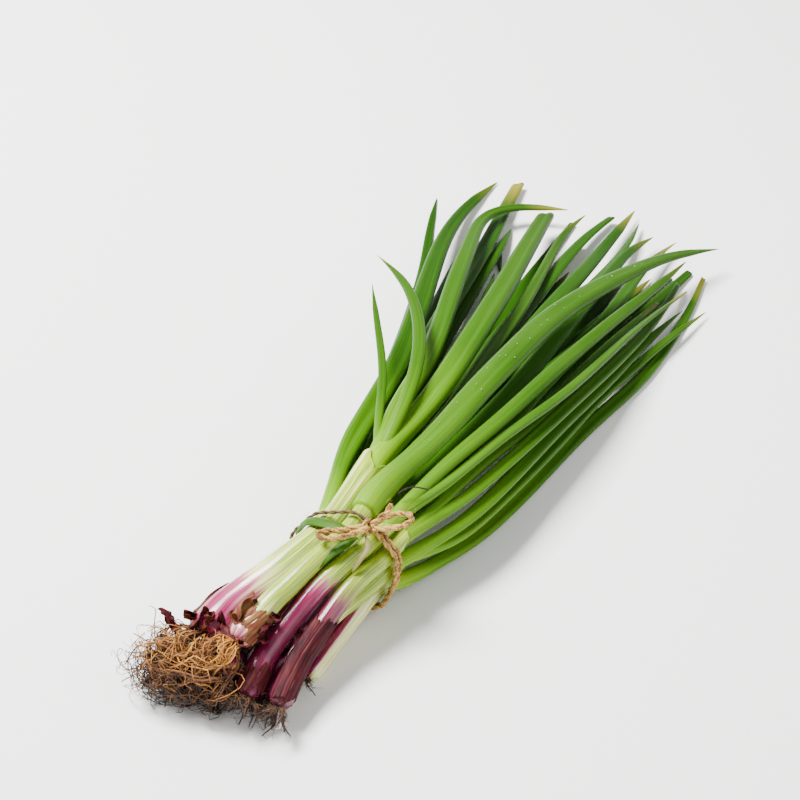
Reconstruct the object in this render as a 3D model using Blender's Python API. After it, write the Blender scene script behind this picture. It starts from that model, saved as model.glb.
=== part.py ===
"""A tied bunch of spring onions, lying on its side.

The bunch lies along X, roots at -X and leaf tips at +X, with +Z up.
The origin is the middle of its outline on the ground.
Lengths below are millimetres, and the solids are made in metres.
"""
import bpy
import bmesh
import numpy as np

MM = 0.001
WELD = 2e-7             # metres

# driving sizes
BUNCH_MIDDLE = np.array([120.0, 36.0, 0.0])  # from the tie to the middle of the outline
SPACING = 8.0          # between the points that a centre line is worked out on
ROOT_SPACING = 8.0
SHOOT_GAP = 0.7        # clear space between two shoots
ROOT_GAP = 0.7         # clear space round a root
JOIN_GAP = 0.3         # between two pieces that meet
FLAT = 0.5             # how far what lies on the ground is pressed flat
SKIN_GAP = 0.6
SKIN_THICKNESS = 0.8
TWINE_RADIUS = 1.5
TWINE_GAP = 0.6
RING_X, RING_PITCH, RING_YAW = -1.5, 0.14, -0.15
RING_HEIGHT = 26.0
STEADY_FREEDOM = 0.12   # how easily an onion seen from the front gives way to the others
LEAF_SPLIT = 5         # points over which the leaves of one onion stay joined
LEAF_EASING = 5        # rounds that take small waves out of a leaf's route
SAME_ONION_ROOM = 0.92 # how closely the leaves of one onion may lie, as a share
PAIRS_EVERY = 12       # rounds between two searches for near neighbours
PLATE_THICKNESS = 2.4
ROOT_RADIUS = 0.7
ROOTS_PER_ONION = 14
ROOTS_OF_SHORT = 8
ROOTS_OF_INNER = 2      # an onion that ends inside the bunch has lost most of its roots
INNER_BASE = -56.0      # the x past which an onion's base is inside the bunch
ROOTS_SEED = 11
UNDER_SEED = 7

# each onion from its basal plate to the top of its sheath, as x, y, z and radius
ONIONS = {
    "01": [(-66, 25, 20, 9.4), (-48, 22, 25, 9.0), (-24, 12, 34, 8.4), (0, 8, 39, 6.3),
           (24, 9, 42, 6.6), (46, 12, 42, 8.4)],
    "02": [(-68, 8, 26, 6.2), (-50, 5, 29, 5.2), (-26, 1, 37, 4.5), (0, -3, 43, 4.2),
           (24, -1, 47, 5.4)],
    "03": [(-78, -3, 12, 5.4), (-62, 0, 19, 5.2), (-42, -1, 28, 4.7), (-20, -6, 36, 4.3),
           (0, -11, 39, 4.0), (22, -14, 42, 4.2)],
    "04": [(-75, -10, 8, 5.2), (-58, -7, 15, 5.0), (-34, -8, 24, 4.6), (-15, -12, 31, 4.4),
           (0, -16, 32, 4.1), (20, -20, 35, 4.1)],
    "05": [(-72, -9, 6, 5.0), (-52, -5, 9, 4.7), (-28, -8, 16, 4.3), (-7, -15, 22, 4.1),
           (0, -17, 24, 4.0), (16, -22, 27, 4.1)],
    "06": [(-54, -6, 3.5, 4.4), (-32, -7, 3.5, 4.2), (-12, -10, 8, 3.9), (0, -13, 12, 3.8),
           (18, -21, 9, 3.9)],
    "07": [(-58, 40, 12, 5.2), (-34, 31, 18, 4.6), (-12, 21, 28, 4.1), (0, 16, 31, 4.0),
           (22, 21, 34, 4.2)],
    "08": [(-68, 31, 6, 5.0), (-40, 28, 8, 4.4), (-15, 20, 16, 4.2), (0, 16, 20, 4.2),
           (24, 21, 19, 4.4)],
    "09": [(-74, 20, 4, 5.0), (-40, 19, 3.5, 4.4), (-16, 13, 9, 4.3), (0, 9, 11, 4.4),
           (24, 14, 8, 4.6)],
    "10": [(-62, 10, 4, 4.8), (-36, 10, 3.5, 4.2), (-12, 3, 7, 4.3), (0, -2, 8.4, 4.4),
           (24, 1, 6.5, 4.6)],
    "11": [(-76, 13, 16, 5.0), (-45, 13, 17, 4.6), (-20, 9, 21, 4.6), (0, 6, 25, 4.7),
           (26, 8, 27, 4.9)],
    "12": [(-58, 3, 10, 4.4), (-35, 3, 13, 4.1), (-15, -2, 18, 4.3), (0, -5, 20, 4.6),
           (24, -5, 19, 4.8)],
    "13": [(-50, -3, 17, 3.9), (-36, -4, 20, 3.9), (-20, -5, 26, 4.0), (0, -5, 31, 4.0),
           (24, -6, 35, 4.3)],
}
# the onions seen from the front keep their place, and the others give way to them
STEADY = {"01", "02", "03", "04", "05", "06"}

# each leaf: its onion, its radius at the neck and the tip, and its route past the sheath
LEAVES = [
    ("01", 4.6, 1.4, [(66, 19, 45), (90, 24, 44), (116, 29, 40), (160, 44, 34), (202, 60, 28),
                      (240, 73, 21), (276, 86, 13), (292, 84, 11), (301, 69, 11), (307, 48, 12)]),
    ("01", 3.0, 0.8, [(63, 13, 50), (79, 16, 53), (104, 25, 54), (121, 34, 53), (146, 52, 50),
                      (163, 68, 47), (180, 95, 42)]),
    ("01", 1.9, 0.7, [(58, 21, 46), (70, 26, 47), (86, 33, 48), (101, 43, 49), (122, 59, 49),
                      (151, 80, 48)]),
    ("01", 5.8, 4.2, [(63, 11, 43), (84, 11, 44), (112, 14, 43), (151, 22, 38), (189, 30, 32),
                      (237, 42, 23), (294, 56, 12)]),
    ("02", 6.0, 1.2, [(45, -5, 50), (67, -8, 51), (100, -7, 51), (132, -7, 48), (168, -6, 44),
                      (200, -8, 39), (243, -15, 31), (287, -25, 21), (313, -40, 14)]),
    ("02", 3.2, 1.2, [(60, 2, 41), (100, 6, 34), (158, 16, 26), (197, 21, 22), (257, 34, 14),
                      (292, 42, 10), (313, 40, 8)]),
    ("03", 3.4, 1.4, [(51, -17, 46), (90, -22, 44), (147, -24, 38), (179, -25, 33),
                      (216, -26, 27), (252, -28, 21), (291, -30, 17)]),
    ("03", 3.0, 0.9, [(40, -22, 42), (59, -24, 42), (92, -28, 40), (135, -34, 34), (173, -35, 28),
                      (232, -35, 17), (276, -38, 8)]),
    ("04", 3.0, 1.0, [(41, -24, 37), (67, -24, 37), (86, -27, 35), (121, -31, 31), (192, -29, 21),
                      (259, -29, 8)]),
    ("04", 3.0, 1.3, [(36, -27, 34), (58, -31, 34), (92, -34, 32), (133, -36, 28), (194, -38, 18),
                      (241, -36, 10), (283, -30, 5)]),
    ("05", 3.3, 1.2, [(30, -30, 28), (52, -35, 28), (82, -37, 27), (130, -37, 22), (181, -39, 15),
                      (232, -39, 7), (264, -43, 4)]),
    ("05", 2.8, 1.0, [(28, -31, 22), (68, -36, 19), (130, -38, 13), (175, -38, 9), (222, -44, 5),
                      (272, -52, 3)]),
    ("06", 3.5, 1.2, [(36, -26, 6), (58, -32, 4), (100, -36, 3), (160, -40, 3), (203, -47, 3),
                      (237, -46, 2.5), (262, -45, 2.5), (300, -38, 2)]),
    ("07", 3.8, 1.3, [(41, 30, 34), (82, 40, 30), (123, 49, 26), (178, 68, 21), (251, 95, 11),
                      (296, 104, 4), (326, 103, 1)]),
    ("07", 3.0, 0.8, [(45, 28, 26), (90, 42, 19), (133, 56, 14), (184, 76, 6), (232, 96, 2),
                      (261, 111, 1), (294, 125, 1)]),
    ("08", 3.8, 2.4, [(60, 28, 23), (110, 38, 19), (178, 54, 15), (245, 69, 8), (297, 83, 4),
                      (326, 90, 3)]),
    ("08", 2.6, 1.2, [(50, 26, 15), (100, 38, 10), (150, 48, 8), (220, 72, 1), (266, 83, 1),
                      (282, 80, 1), (268, 67, 1), (248, 56, 1)]),
    ("11", 3.4, 1.4, [(60, 10, 32), (116, 12, 28), (207, 24, 19), (256, 29, 13), (302, 32, 6),
                      (323, 29, 4)]),
    ("11", 3.2, 1.0, [(60, 12, 24), (120, 20, 20), (170, 34, 15), (216, 49, 7), (244, 60, 4)]),
    ("12", 3.2, 1.2, [(60, -4, 27), (110, -4, 27), (160, 0, 24), (212, 3, 20), (257, 3, 15),
                      (299, 7, 8), (326, 13, 4)]),
    ("12", 3.0, 1.1, [(60, -14, 27), (120, -18, 27), (162, -18, 26), (197, -20, 22), (240, -16, 17),
                      (293, -10, 9), (319, -13, 5)]),
    ("13", 3.2, 1.3, [(60, -2, 39), (100, 0, 36), (144, 3, 30), (206, 8, 24), (251, 11, 18),
                      (286, 16, 10), (335, 20, 5)]),
    ("13", 3.0, 1.1, [(60, -10, 38), (100, -12, 36), (150, -12, 33), (190, -8, 29), (241, -3, 20),
                      (298, 3, 10), (314, -1, 7)]),
]
# the leaves that lie underneath: their onion, how many, and where their tips spread in y
UNDER_LEAVES = [("09", 4, 26, 80), ("10", 5, -34, 34), ("12", 2, -34, -14), ("11", 1, 0, 12),
                ("13", 1, -24, -20), ("08", 1, 84, 94)]

# dry outer skins: their onion, where along it and round it they lie (mm, degrees)
SKINS = [("01", 2, 15, -95, 60), ("04", 3, 42, -60, 130), ("07", 2, 20, -30, 170),
         ("03", 1, 12, -40, 140), ("02", 3, 17, -60, 150)]

ROOT_BALL_MIDDLE = np.array([-82.0, 32.0, 13.0])
ROOT_BALL_HALF = np.array([9.0, 18.0, 11.0])
SHORT_ROOTED = {"03", "04", "05", "06"}  # these end in a short tuft outside the ball

# the knot, and the bow's two loops and its short end, with heights above the ring's top
KNOT = np.array([0.5, -11.0, 2.2])
BOW_RIGHT = [(0.5, -11, 2.0), (5, -13, 2.8), (10, -16, 3.4), (13.5, -19.5, 3.8), (14, -24, 4.5),
             (10.5, -26, 4.9), (6, -24, 4.6), (2.5, -19, 3.6), (0.5, -13, 2.4)]
BOW_LEFT = [(0, -11, 2.4), (-3, -8, 3.6), (-8, -4, 4.2), (-13, 2, 4.6), (-16, 4, 4.8),
            (-17, 1, 4.6), (-13, -5, 4.4), (-7, -9, 4.0), (-1, -11.5, 3.2)]
TAIL_UP = [(1, -12, 3.4), (3.5, -14.5, 6.4), (6.5, -17, 9.6), (8.5, -17.5, 12.4)]

COLOURS = {
    "shank": ((0.86, 0.86, 0.62), 0.42),
    "leaves": ((0.13, 0.33, 0.05), 0.45),
    "roots": ((0.35, 0.18, 0.07), 0.85),
    "skin": ((0.33, 0.14, 0.09), 0.75),
    "twine": ((0.45, 0.28, 0.13), 0.9),
}


def unit(vectors):
    return vectors / np.linalg.norm(vectors, axis=-1, keepdims=True)


def smooth_route(waypoints, spacing):
    """Evenly spaced points on a smooth curve through the waypoints."""
    knots = np.asarray(waypoints, float)
    ends = np.vstack([2 * knots[0] - knots[1], knots, 2 * knots[-1] - knots[-2]])
    dense = []
    for a, b, c, d in zip(ends, ends[1:], ends[2:], ends[3:]):
        before, inside, after = (np.sqrt(np.linalg.norm((q - p)[:3]))
                                 for p, q in ((a, b), (b, c), (c, d)))
        leave = (b - a) / before - (c - a) / (before + inside) + (c - b) / inside
        arrive = (c - b) / inside - (d - b) / (inside + after) + (d - c) / after
        for t in np.linspace(0, 1, 24, endpoint=False):
            dense.append(b * (2*t**3 - 3*t**2 + 1) + leave * inside * (t**3 - 2*t**2 + t)
                         + c * (3*t**2 - 2*t**3) + arrive * inside * (t**3 - t**2))
    dense = np.array(dense + [knots[-1]])
    length = run_length(dense[:, :3])
    marks = np.linspace(0, length[-1], max(3, int(round(length[-1] / spacing)) + 1))
    return np.column_stack([np.interp(marks, length, column) for column in dense.T])


def run_length(points):
    """The distance along a line at each of its points."""
    return np.concatenate([[0], np.cumsum(np.linalg.norm(np.diff(points, axis=0), axis=1))])


def leaf_radii(base, tip, count):
    """A leaf swells a little past its neck and tapers towards its tip."""
    t = np.linspace(0, 1, count)
    swell = 0.82 + 0.18 * np.sin(np.pi * np.clip(t / 0.35, 0, 1) / 2)
    taper = 1 - (1 - tip / base) * np.clip((t - 0.4) / 0.6, 0, 1) ** 2
    return base * swell * taper


def under_leaves():
    """The leaves that lie underneath, fanned out by a rule."""
    draw = np.random.default_rng(UNDER_SEED)
    leaves = []
    for onion, count, low, high in UNDER_LEAVES:
        top = np.array(ONIONS[onion][-1][:3], float)
        for number in range(count):
            y_tip = low + (high - low) * (number + 0.5) / count
            reach = draw.uniform(250, 318)
            height = draw.uniform(1, 10)
            bow = draw.uniform(-4, 4)
            route = [(top[0] + (reach - top[0]) * t,
                      top[1] + (y_tip - top[1]) * t ** 0.9 + bow * np.sin(np.pi * t),
                      top[2] * (1 - t) ** 1.5 + height * np.sin(np.pi * t) + 1.5 * t)
                     for t in (0.2, 0.45, 0.7, 0.88, 1.0)]
            leaves.append((onion, draw.uniform(2.8, 3.5), draw.uniform(1.0, 1.6), route))
    return leaves


def make_strand(onion, kind, points, radii, room=None):
    """A centre line with its radii, and the radii that neighbours keep clear of."""
    freedom = STEADY_FREEDOM if onion in STEADY else 1.0
    return dict(onion=onion, kind=kind, points=points, radii=radii,
                room=radii if room is None else room, freedom=freedom)


def make_shoots():
    """Every onion's shank and leaves before they are pushed apart."""
    shoots = []
    for onion, route in ONIONS.items():
        line = smooth_route(route, SPACING)
        room = line[:, 3].copy()
        for owner, _, end, _, _ in SKINS:
            if owner == onion:
                room[run_length(line[:, :3]) < end + SPACING] += SKIN_GAP + SKIN_THICKNESS
        shoots.append(make_strand(onion, "shank", line[:, :3], line[:, 3], room))
    tops = {shank["onion"]: shank["points"][-1] for shank in shoots}
    for onion, base, tip, route in LEAVES + under_leaves():
        line = smooth_route(np.vstack([tops[onion], np.array(route, float)]), SPACING)
        for _ in range(LEAF_EASING):
            line[1:-1] = 0.25 * line[:-2] + 0.5 * line[1:-1] + 0.25 * line[2:]
        shoots.append(make_strand(onion, "leaf", line, leaf_radii(base, tip, len(line))))
    return shoots


def make_roots(shanks):
    """Curly roots from every basal plate out into the root ball."""
    draw = np.random.default_rng(ROOTS_SEED)
    roots = []
    for shank in shanks:
        start = shank["points"][0]
        out = unit(start - shank["points"][1])
        side = unit(np.cross(out, (0, 0, 1)))
        rise = np.cross(side, out)
        number = ROOTS_PER_ONION if start[0] < INNER_BASE else ROOTS_OF_INNER
        if shank["onion"] in SHORT_ROOTED:
            number = min(number, ROOTS_OF_SHORT)
        for k in range(number):
            turn = 2 * np.pi * (k + draw.uniform(-0.3, 0.3)) / number
            spoke = side * np.cos(turn) + rise * np.sin(turn)
            radius = shank["radii"][0]
            first = start + out * (JOIN_GAP + 1.0) + spoke * radius * 0.4
            short = shank["onion"] in SHORT_ROOTED
            second = first + (out + 0.7 * spoke) * (3.0 if short else draw.uniform(6, 9))
            goal = ROOT_BALL_MIDDLE + ROOT_BALL_HALF * draw.uniform(-1, 1, 3)
            goal[1] += 0.35 * (start[1] - ROOT_BALL_MIDDLE[1])
            wobble = 4.0
            if short:
                goal = second + (0.8 * out + 0.5 * spoke) * draw.uniform(2, 6)
                wobble = 0.8
            bend = 0.5 * (second + goal) + draw.normal(0, wobble, 3)
            curl = goal + 4 * unit(goal - bend) + draw.normal(0, wobble, 3)
            route = np.array([first, second, bend, goal, curl])
            route[2:, 2] = np.abs(route[2:, 2]) + ROOT_RADIUS
            line = smooth_route(route, ROOT_SPACING)
            roots.append(make_strand(shank["onion"], "root", line,
                                     np.full(len(line), ROOT_RADIUS)))
    return roots


def ground_height(x, radii):
    """The lowest height of a centre line, over the ground and over the twine."""
    bottom = RING_X - RING_PITCH * RING_HEIGHT
    lift = (2 * TWINE_RADIUS + TWINE_GAP) * np.exp(-((x - bottom) / 15.0) ** 4)
    return radii - FLAT + lift


def closest_on_segments(p, p_end, q, q_end):
    """Where two straight pieces come closest, as a share of each."""
    u, v, w = p_end - p, q_end - q, p - q
    uu, uv, vv = (u * u).sum(1), (u * v).sum(1), (v * v).sum(1)
    uw, vw = (u * w).sum(1), (v * w).sum(1)
    s = np.clip((uv * vw - vv * uw) / np.maximum(uu * vv - uv * uv, 1e-9), 0, 1)
    t = np.clip((uv * s + vw) / vv, 0, 1)
    s = np.clip((uv * t - uw) / uu, 0, 1)
    return s[:, None], t[:, None]


def point_table(strands, fixed_kinds):
    """Every point of the strands, with what it belongs to and how freely it moves."""
    kinds, onions = ["shank", "leaf", "root"], list(ONIONS)
    sizes = [len(s["points"]) for s in strands]
    starts = np.concatenate([[0], np.cumsum(sizes)[:-1]])
    strand = np.repeat(np.arange(len(strands)), sizes)
    kind = np.array([kinds.index(s["kind"]) for s in strands])[strand]
    rank = np.arange(len(strand)) - starts[strand]
    inside = np.append(strand[:-1] == strand[1:], False)
    fixed = np.isin(kind, [kinds.index(k) for k in fixed_kinds]) | ((kind == 2) & (rank == 0))
    freedom = np.array([s["freedom"] for s in strands])[strand]
    tops = {s["onion"]: starts[k] + sizes[k] - 1
            for k, s in enumerate(strands) if s["kind"] == "shank"}
    leaves = [k for k, s in enumerate(strands) if s["kind"] == "leaf"]
    return dict(
        points=np.vstack([s["points"] for s in strands]),
        room=np.concatenate([s["room"] for s in strands]),
        onion=np.array([onions.index(s["onion"]) for s in strands])[strand],
        strand=strand, kind=kind, rank=rank, starts=starts, sizes=sizes, fixed=fixed,
        freedom=np.where(fixed, 1e-6, freedom),
        segment=np.flatnonzero(inside), middle=np.flatnonzero(inside & (rank > 0)),
        leaf_start=starts[leaves], leaf_top=np.array([tops[strands[k]["onion"]] for k in leaves], int))


def near_pairs(table, now, gap):
    """The pairs of straight pieces that might touch and mustn't, and their share of room."""
    segment, kind, rank = table["segment"], table["kind"], table["rank"]
    middle = 0.5 * (now[segment] + now[segment + 1])
    apart = ((middle[:, None, :] - middle[None, :, :]) ** 2).sum(-1)
    half = np.linalg.norm(now[segment + 1] - now[segment], axis=1) / 2
    reach = table["room"][segment] + half + gap / 2 + 2.0
    one, two = np.nonzero(np.triu(apart < (reach[:, None] + reach[None, :]) ** 2, 1))
    i, j = segment[one], segment[two]
    same = table["onion"][i] == table["onion"][j]
    both_leaves = (kind[i] == 1) & (kind[j] == 1)
    split = (rank[i] >= LEAF_SPLIT) & (rank[j] >= LEAF_SPLIT)
    root_and_shank = (kind[i] + kind[j] == 2) & (kind[i] != 1)
    free_root = np.maximum(rank[i] * (kind[i] == 2), rank[j] * (kind[j] == 2)) >= 2
    apart_enough = (both_leaves & split) | (root_and_shank & free_root)
    keep = (table["strand"][i] != table["strand"][j]) & (~same | apart_enough)
    return i[keep], j[keep], np.where(same[keep], SAME_ONION_ROOM, 1.0)


def crowding(table, now, pairs, gap):
    """How far each point has to move for the near pairs to clear each other."""
    i, j, factor = pairs
    room, freedom = table["room"], table["freedom"]
    s, t = closest_on_segments(now[i], now[i + 1], now[j], now[j + 1])
    between = now[i] + (now[i + 1] - now[i]) * s - now[j] - (now[j + 1] - now[j]) * t
    distance = np.linalg.norm(between, axis=1) + 1e-9
    need = room[i] * (1 - s[:, 0]) + room[i + 1] * s[:, 0]
    need = need + room[j] * (1 - t[:, 0]) + room[j + 1] * t[:, 0]
    lack = np.clip(need * factor + gap - distance, 0, None)
    share = (freedom[i] / (freedom[i] + freedom[j]))[:, None]
    push = between / distance[:, None] * (0.5 * lack)[:, None]
    hit = (lack > 0)[:, None]
    move = np.zeros_like(now)
    weight = np.zeros((len(now), 1))
    for index, part, way in ((i, 1 - s, share), (i + 1, s, share),
                             (j, 1 - t, share - 1), (j + 1, t, share - 1)):
        np.add.at(move, index, push * part * way)
        np.add.at(weight, index, hit * part)
    return move / np.maximum(1.0, 0.45 * weight)


def push_apart(strands, gap, rounds, fixed_kinds=()):
    """Move the strands until they clear each other, the ground and the twine."""
    table = point_table(strands, fixed_kinds)
    points, middle, fixed = table["points"], table["middle"], table["fixed"]
    shift = np.zeros_like(points)
    for step in range(rounds):
        now = points + shift
        if step % PAIRS_EVERY == 0:
            pairs = near_pairs(table, now, gap)
        shift += crowding(table, now, pairs, gap)
        left = rounds - step
        blend = 0.35 if left >= 60 else 0.12 if left > 25 else 0.0
        even = shift.copy()
        even[middle] += blend * (0.5 * (shift[middle - 1] + shift[middle + 1]) - shift[middle])
        shift = even * (0.9985 if left >= 60 else 1.0)
        shift[table["leaf_start"]] = shift[table["leaf_top"]]
        low = ground_height(points[:, 0] + shift[:, 0], table["room"])
        shift[:, 2] = np.maximum(shift[:, 2], low - points[:, 2])
        shift[fixed] = 0
    for strand, start, size in zip(strands, table["starts"], table["sizes"]):
        strand["points"] = (points + shift)[start:start + size]
    return strands


def clearance(one, other):
    """The clear space between two strands, measured between their straight pieces."""
    p, q = one["points"], other["points"]
    i, j = (index.ravel() for index in np.mgrid[:len(p) - 1, :len(q) - 1])
    s, t = closest_on_segments(p[i], p[i + 1], q[j], q[j + 1])
    between = p[i] + (p[i + 1] - p[i]) * s - q[j] - (q[j + 1] - q[j]) * t
    room, other_room = one["room"], other["room"]
    taken = room[i] * (1 - s[:, 0]) + room[i + 1] * s[:, 0]
    taken = taken + other_room[j] * (1 - t[:, 0]) + other_room[j + 1] * t[:, 0]
    return (np.linalg.norm(between, axis=1) - taken).min()


def clear_roots(strands):
    """The roots that pass every other onion's roots and shank without touching."""
    kept = [s for s in strands if s["kind"] == "shank"]
    for root in [s for s in strands if s["kind"] == "root"]:
        others = [s for s in kept if s["onion"] != root["onion"]]
        if all(clearance(root, other) > JOIN_GAP for other in others):
            kept.append(root)
    return [s for s in kept if s["kind"] == "root"]


def stations(points, longest, turn):
    """The points to keep, closer where the line bends."""
    ways = unit(np.diff(points, axis=0))
    bends = np.arccos(np.clip((ways[1:] * ways[:-1]).sum(1), -1, 1))
    bend_at = np.concatenate([[0], bends, [0]])
    steps = np.linalg.norm(np.diff(points, axis=0), axis=1) / longest
    measure = np.concatenate([[0], np.cumsum(steps + 0.5 * (bend_at[1:] + bend_at[:-1]) / turn)])
    count = max(2, int(np.ceil(measure[-1])) + 1)
    marks = np.linspace(0, measure[-1], count)
    return np.unique([np.abs(measure - mark).argmin() for mark in marks])


def frames(points, closed=False, upright=True):
    """Sideways and upward directions square to the line at each point."""
    if closed:
        ways = unit(np.roll(points, -1, axis=0) - np.roll(points, 1, axis=0))
    else:
        ways = unit(np.gradient(points, axis=0))
    up = np.array([0.0, 0.0, 1.0]) if abs(ways[0][2]) < 0.9 else np.array([0.0, 1.0, 0.0])
    sides, rises = [], []
    for way in ways:
        side = unit(np.cross(way, up))
        rise = np.cross(side, way)
        sides.append(side)
        rises.append(rise)
        if not upright:
            up = rise
    return ways, np.array(sides), np.array(rises)


def tube_mesh(points, radii, sides, closed=False, upright=True):
    """Corners and faces of a tube, with one side flat underneath and closed ends."""
    _, across, rise = frames(points, closed, upright)
    angles = -np.pi / 2 + 2 * np.pi * (np.arange(sides) + 0.5) / sides
    corners = []
    for centre, radius, side, up in zip(points, radii, across, rise):
        for angle in angles:
            corners.append(centre + radius * (np.cos(angle) * side + np.sin(angle) * up))
    corners = np.array(corners)
    corners[:, 2] = np.maximum(corners[:, 2], 0)
    count = len(points)
    faces = []
    for ring in range(count if closed else count - 1):
        for k in range(sides):
            a, b = ring * sides + k, ring * sides + (k + 1) % sides
            c, d = ((ring + 1) % count) * sides + (k + 1) % sides, ((ring + 1) % count) * sides + k
            faces.append((a, b, c, d))
    if not closed:
        faces.append(tuple(range(sides - 1, -1, -1)))
        faces.append(tuple(range((count - 1) * sides, count * sides)))
    return corners, faces


def add_object(name, corners, faces, kind):
    """An object from corners in millimetres round the tie."""
    mesh = bpy.data.meshes.new(name)
    mesh.from_pydata([tuple(c) for c in (corners - BUNCH_MIDDLE) * MM], [], faces)
    mesh.materials.append(bpy.data.materials[kind])
    shape = bmesh.new()
    shape.from_mesh(mesh)
    bmesh.ops.recalc_face_normals(shape, faces=shape.faces)
    shape.to_mesh(mesh)
    shape.free()
    thing = bpy.data.objects.new(name, mesh)
    bpy.context.scene.collection.objects.link(thing)
    return thing


def main_shell(mesh):
    """Keep the largest connected shell, weld it and split it into triangles."""
    shape = bmesh.new()
    shape.from_mesh(mesh)
    bmesh.ops.remove_doubles(shape, verts=shape.verts, dist=WELD)
    bmesh.ops.dissolve_degenerate(shape, edges=shape.edges, dist=WELD)
    bmesh.ops.triangulate(shape, faces=shape.faces)
    left = set(shape.faces)
    shells = []
    while left:
        shell, edge_faces = [], [left.pop()]
        while edge_faces:
            face = edge_faces.pop()
            shell.append(face)
            for edge in face.edges:
                if len(edge.link_faces) == 2:
                    across = [other for other in edge.link_faces if other in left]
                    left.difference_update(across)
                    edge_faces.extend(across)
        shells.append(shell)
    shells.sort(key=len)
    for shell in shells[:-1]:
        bmesh.ops.delete(shape, geom=shell, context="FACES")
    shape.to_mesh(mesh)
    shape.free()


def is_closed(mesh):
    """Whether a mesh is closed and touches itself at no edge or corner."""
    shape = bmesh.new()
    shape.from_mesh(mesh)
    closed = all(place.is_manifold for place in [*shape.edges, *shape.verts])
    shape.free()
    return closed


def united(body, group, solver):
    """The body joined with everything in the group, as a new mesh."""
    union = body.modifiers.new("Union", "BOOLEAN")
    union.operation = "UNION"
    union.operand_type = "COLLECTION"
    union.collection = group
    union.solver = solver
    depsgraph = bpy.context.evaluated_depsgraph_get()
    mesh = bpy.data.meshes.new_from_object(body.evaluated_get(depsgraph))
    body.modifiers.remove(union)
    main_shell(mesh)
    return mesh


def fuse(name, pieces, kind):
    """One solid from pieces that grow out of each other."""
    body = add_object(name, *pieces[0], kind)
    if len(pieces) > 1:
        group = bpy.data.collections.new(name + "_pieces")
        bpy.context.scene.collection.children.link(group)
        for number, piece in enumerate(pieces[1:]):
            extra = add_object("%s_piece_%d" % (name, number), *piece, kind)
            bpy.context.scene.collection.objects.unlink(extra)
            group.objects.link(extra)
        fused = united(body, group, "EXACT")
        while not is_closed(fused):
            fused = united(body, group, "MANIFOLD")
            if not is_closed(fused):
                bpy.data.objects.remove(group.objects[-1])
                fused = united(body, group, "EXACT")
        body.data = fused
        for extra in list(group.objects):
            bpy.data.objects.remove(extra)
        bpy.data.collections.remove(group)
    else:
        main_shell(body.data)
    body.data.shade_smooth()
    body.data.set_sharp_from_angle(angle=np.radians(50))
    return body


def shank_piece(shank):
    """The white shank: a tube that rounds in at the basal plate."""
    points, radii = shank["points"], shank["radii"]
    keep = stations(points, 20.0, 0.25)
    out = unit(points[0] - points[1])
    base = [points[0], points[0] - out * 2.0]
    rest = [k for k in keep if k > 0]
    line = np.vstack([base, points[0] - out * 5.0, points[rest]])
    sizes = np.concatenate([[0.62 * radii[0], 0.88 * radii[0], radii[0]], radii[rest]])
    return tube_mesh(line, sizes, 12 if shank["onion"] == "01" else 10)


def leaf_pieces(shank, leaves):
    """The green leaves of one onion and the neck that they split from."""
    top, way = shank["points"][-1], unit(shank["points"][-1] - shank["points"][-2])
    radius = shank["radii"][-1]
    neck = np.array([top + way * step for step in (JOIN_GAP, 3.0, 7.0)])
    pieces = [tube_mesh(neck, np.array([0.97, 0.97, 0.8]) * radius, 10)]
    for number, leaf in enumerate(leaves):
        keep = stations(leaf["points"], 40.0, 0.28)[1:]
        start = top + way * (1.1 + 0.35 * number)
        line = np.vstack([start, start + way * 0.9, leaf["points"][keep]])
        sizes = np.concatenate([[leaf["radii"][0]] * 2, leaf["radii"][keep]])
        pieces.append(tube_mesh(line, sizes, 8 if leaf["radii"][0] > 3.8 else 6))
    return pieces


def root_pieces(shank, roots):
    """The basal plate of one onion with the roots that grow from it."""
    start, out = shank["points"][0], unit(shank["points"][0] - shank["points"][1])
    plate = np.array([start + out * step for step in (JOIN_GAP, PLATE_THICKNESS * 0.6,
                                                      PLATE_THICKNESS + JOIN_GAP)])
    pieces = [tube_mesh(plate, np.array([0.58, 0.55, 0.3]) * shank["radii"][0], 8)]
    for root in roots:
        thin = np.linspace(1, 0.62, len(root["points"])) * root["radii"]
        pieces.append(tube_mesh(root["points"], thin, 3, upright=False))
    return pieces


def skin_mesh(shank, start, end, low, high):
    """A dry skin: a thin sleeve part way round the shank, with a ragged edge."""
    length = run_length(shank["points"])
    marks = np.arange(start, end + 0.1, 4.5)
    line = np.column_stack([np.interp(marks, length, c) for c in shank["points"].T])
    radii = np.interp(marks, length, shank["radii"]) + SKIN_GAP
    _, across, rise = frames(line)
    around = 7
    corners, faces = [], []
    for layer in (0.0, SKIN_THICKNESS):
        for row, (centre, radius) in enumerate(zip(line, radii)):
            ragged = 9.0 * np.sin(2.3 * row + start)
            for angle in np.radians(np.linspace(low + ragged, high - ragged, around)):
                way = np.cos(angle) * across[row] + np.sin(angle) * rise[row]
                corners.append(centre + (radius + layer) * way)
    rows = len(line)
    outer = rows * around
    for row in range(rows - 1):
        for k in range(around - 1):
            a = row * around + k
            faces.append((a, a + around, a + around + 1, a + 1))
            faces.append((outer + a, outer + a + 1, outer + a + around + 1, outer + a + around))
    rim = list(range(around))
    rim += [row * around + around - 1 for row in range(1, rows)]
    rim += [(rows - 1) * around + k for k in range(around - 2, -1, -1)]
    rim += [row * around for row in range(rows - 2, 0, -1)]
    for a, b in zip(rim, rim[1:] + rim[:1]):
        faces.append((a, b, outer + b, outer + a))
    return np.array(corners), faces


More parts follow.
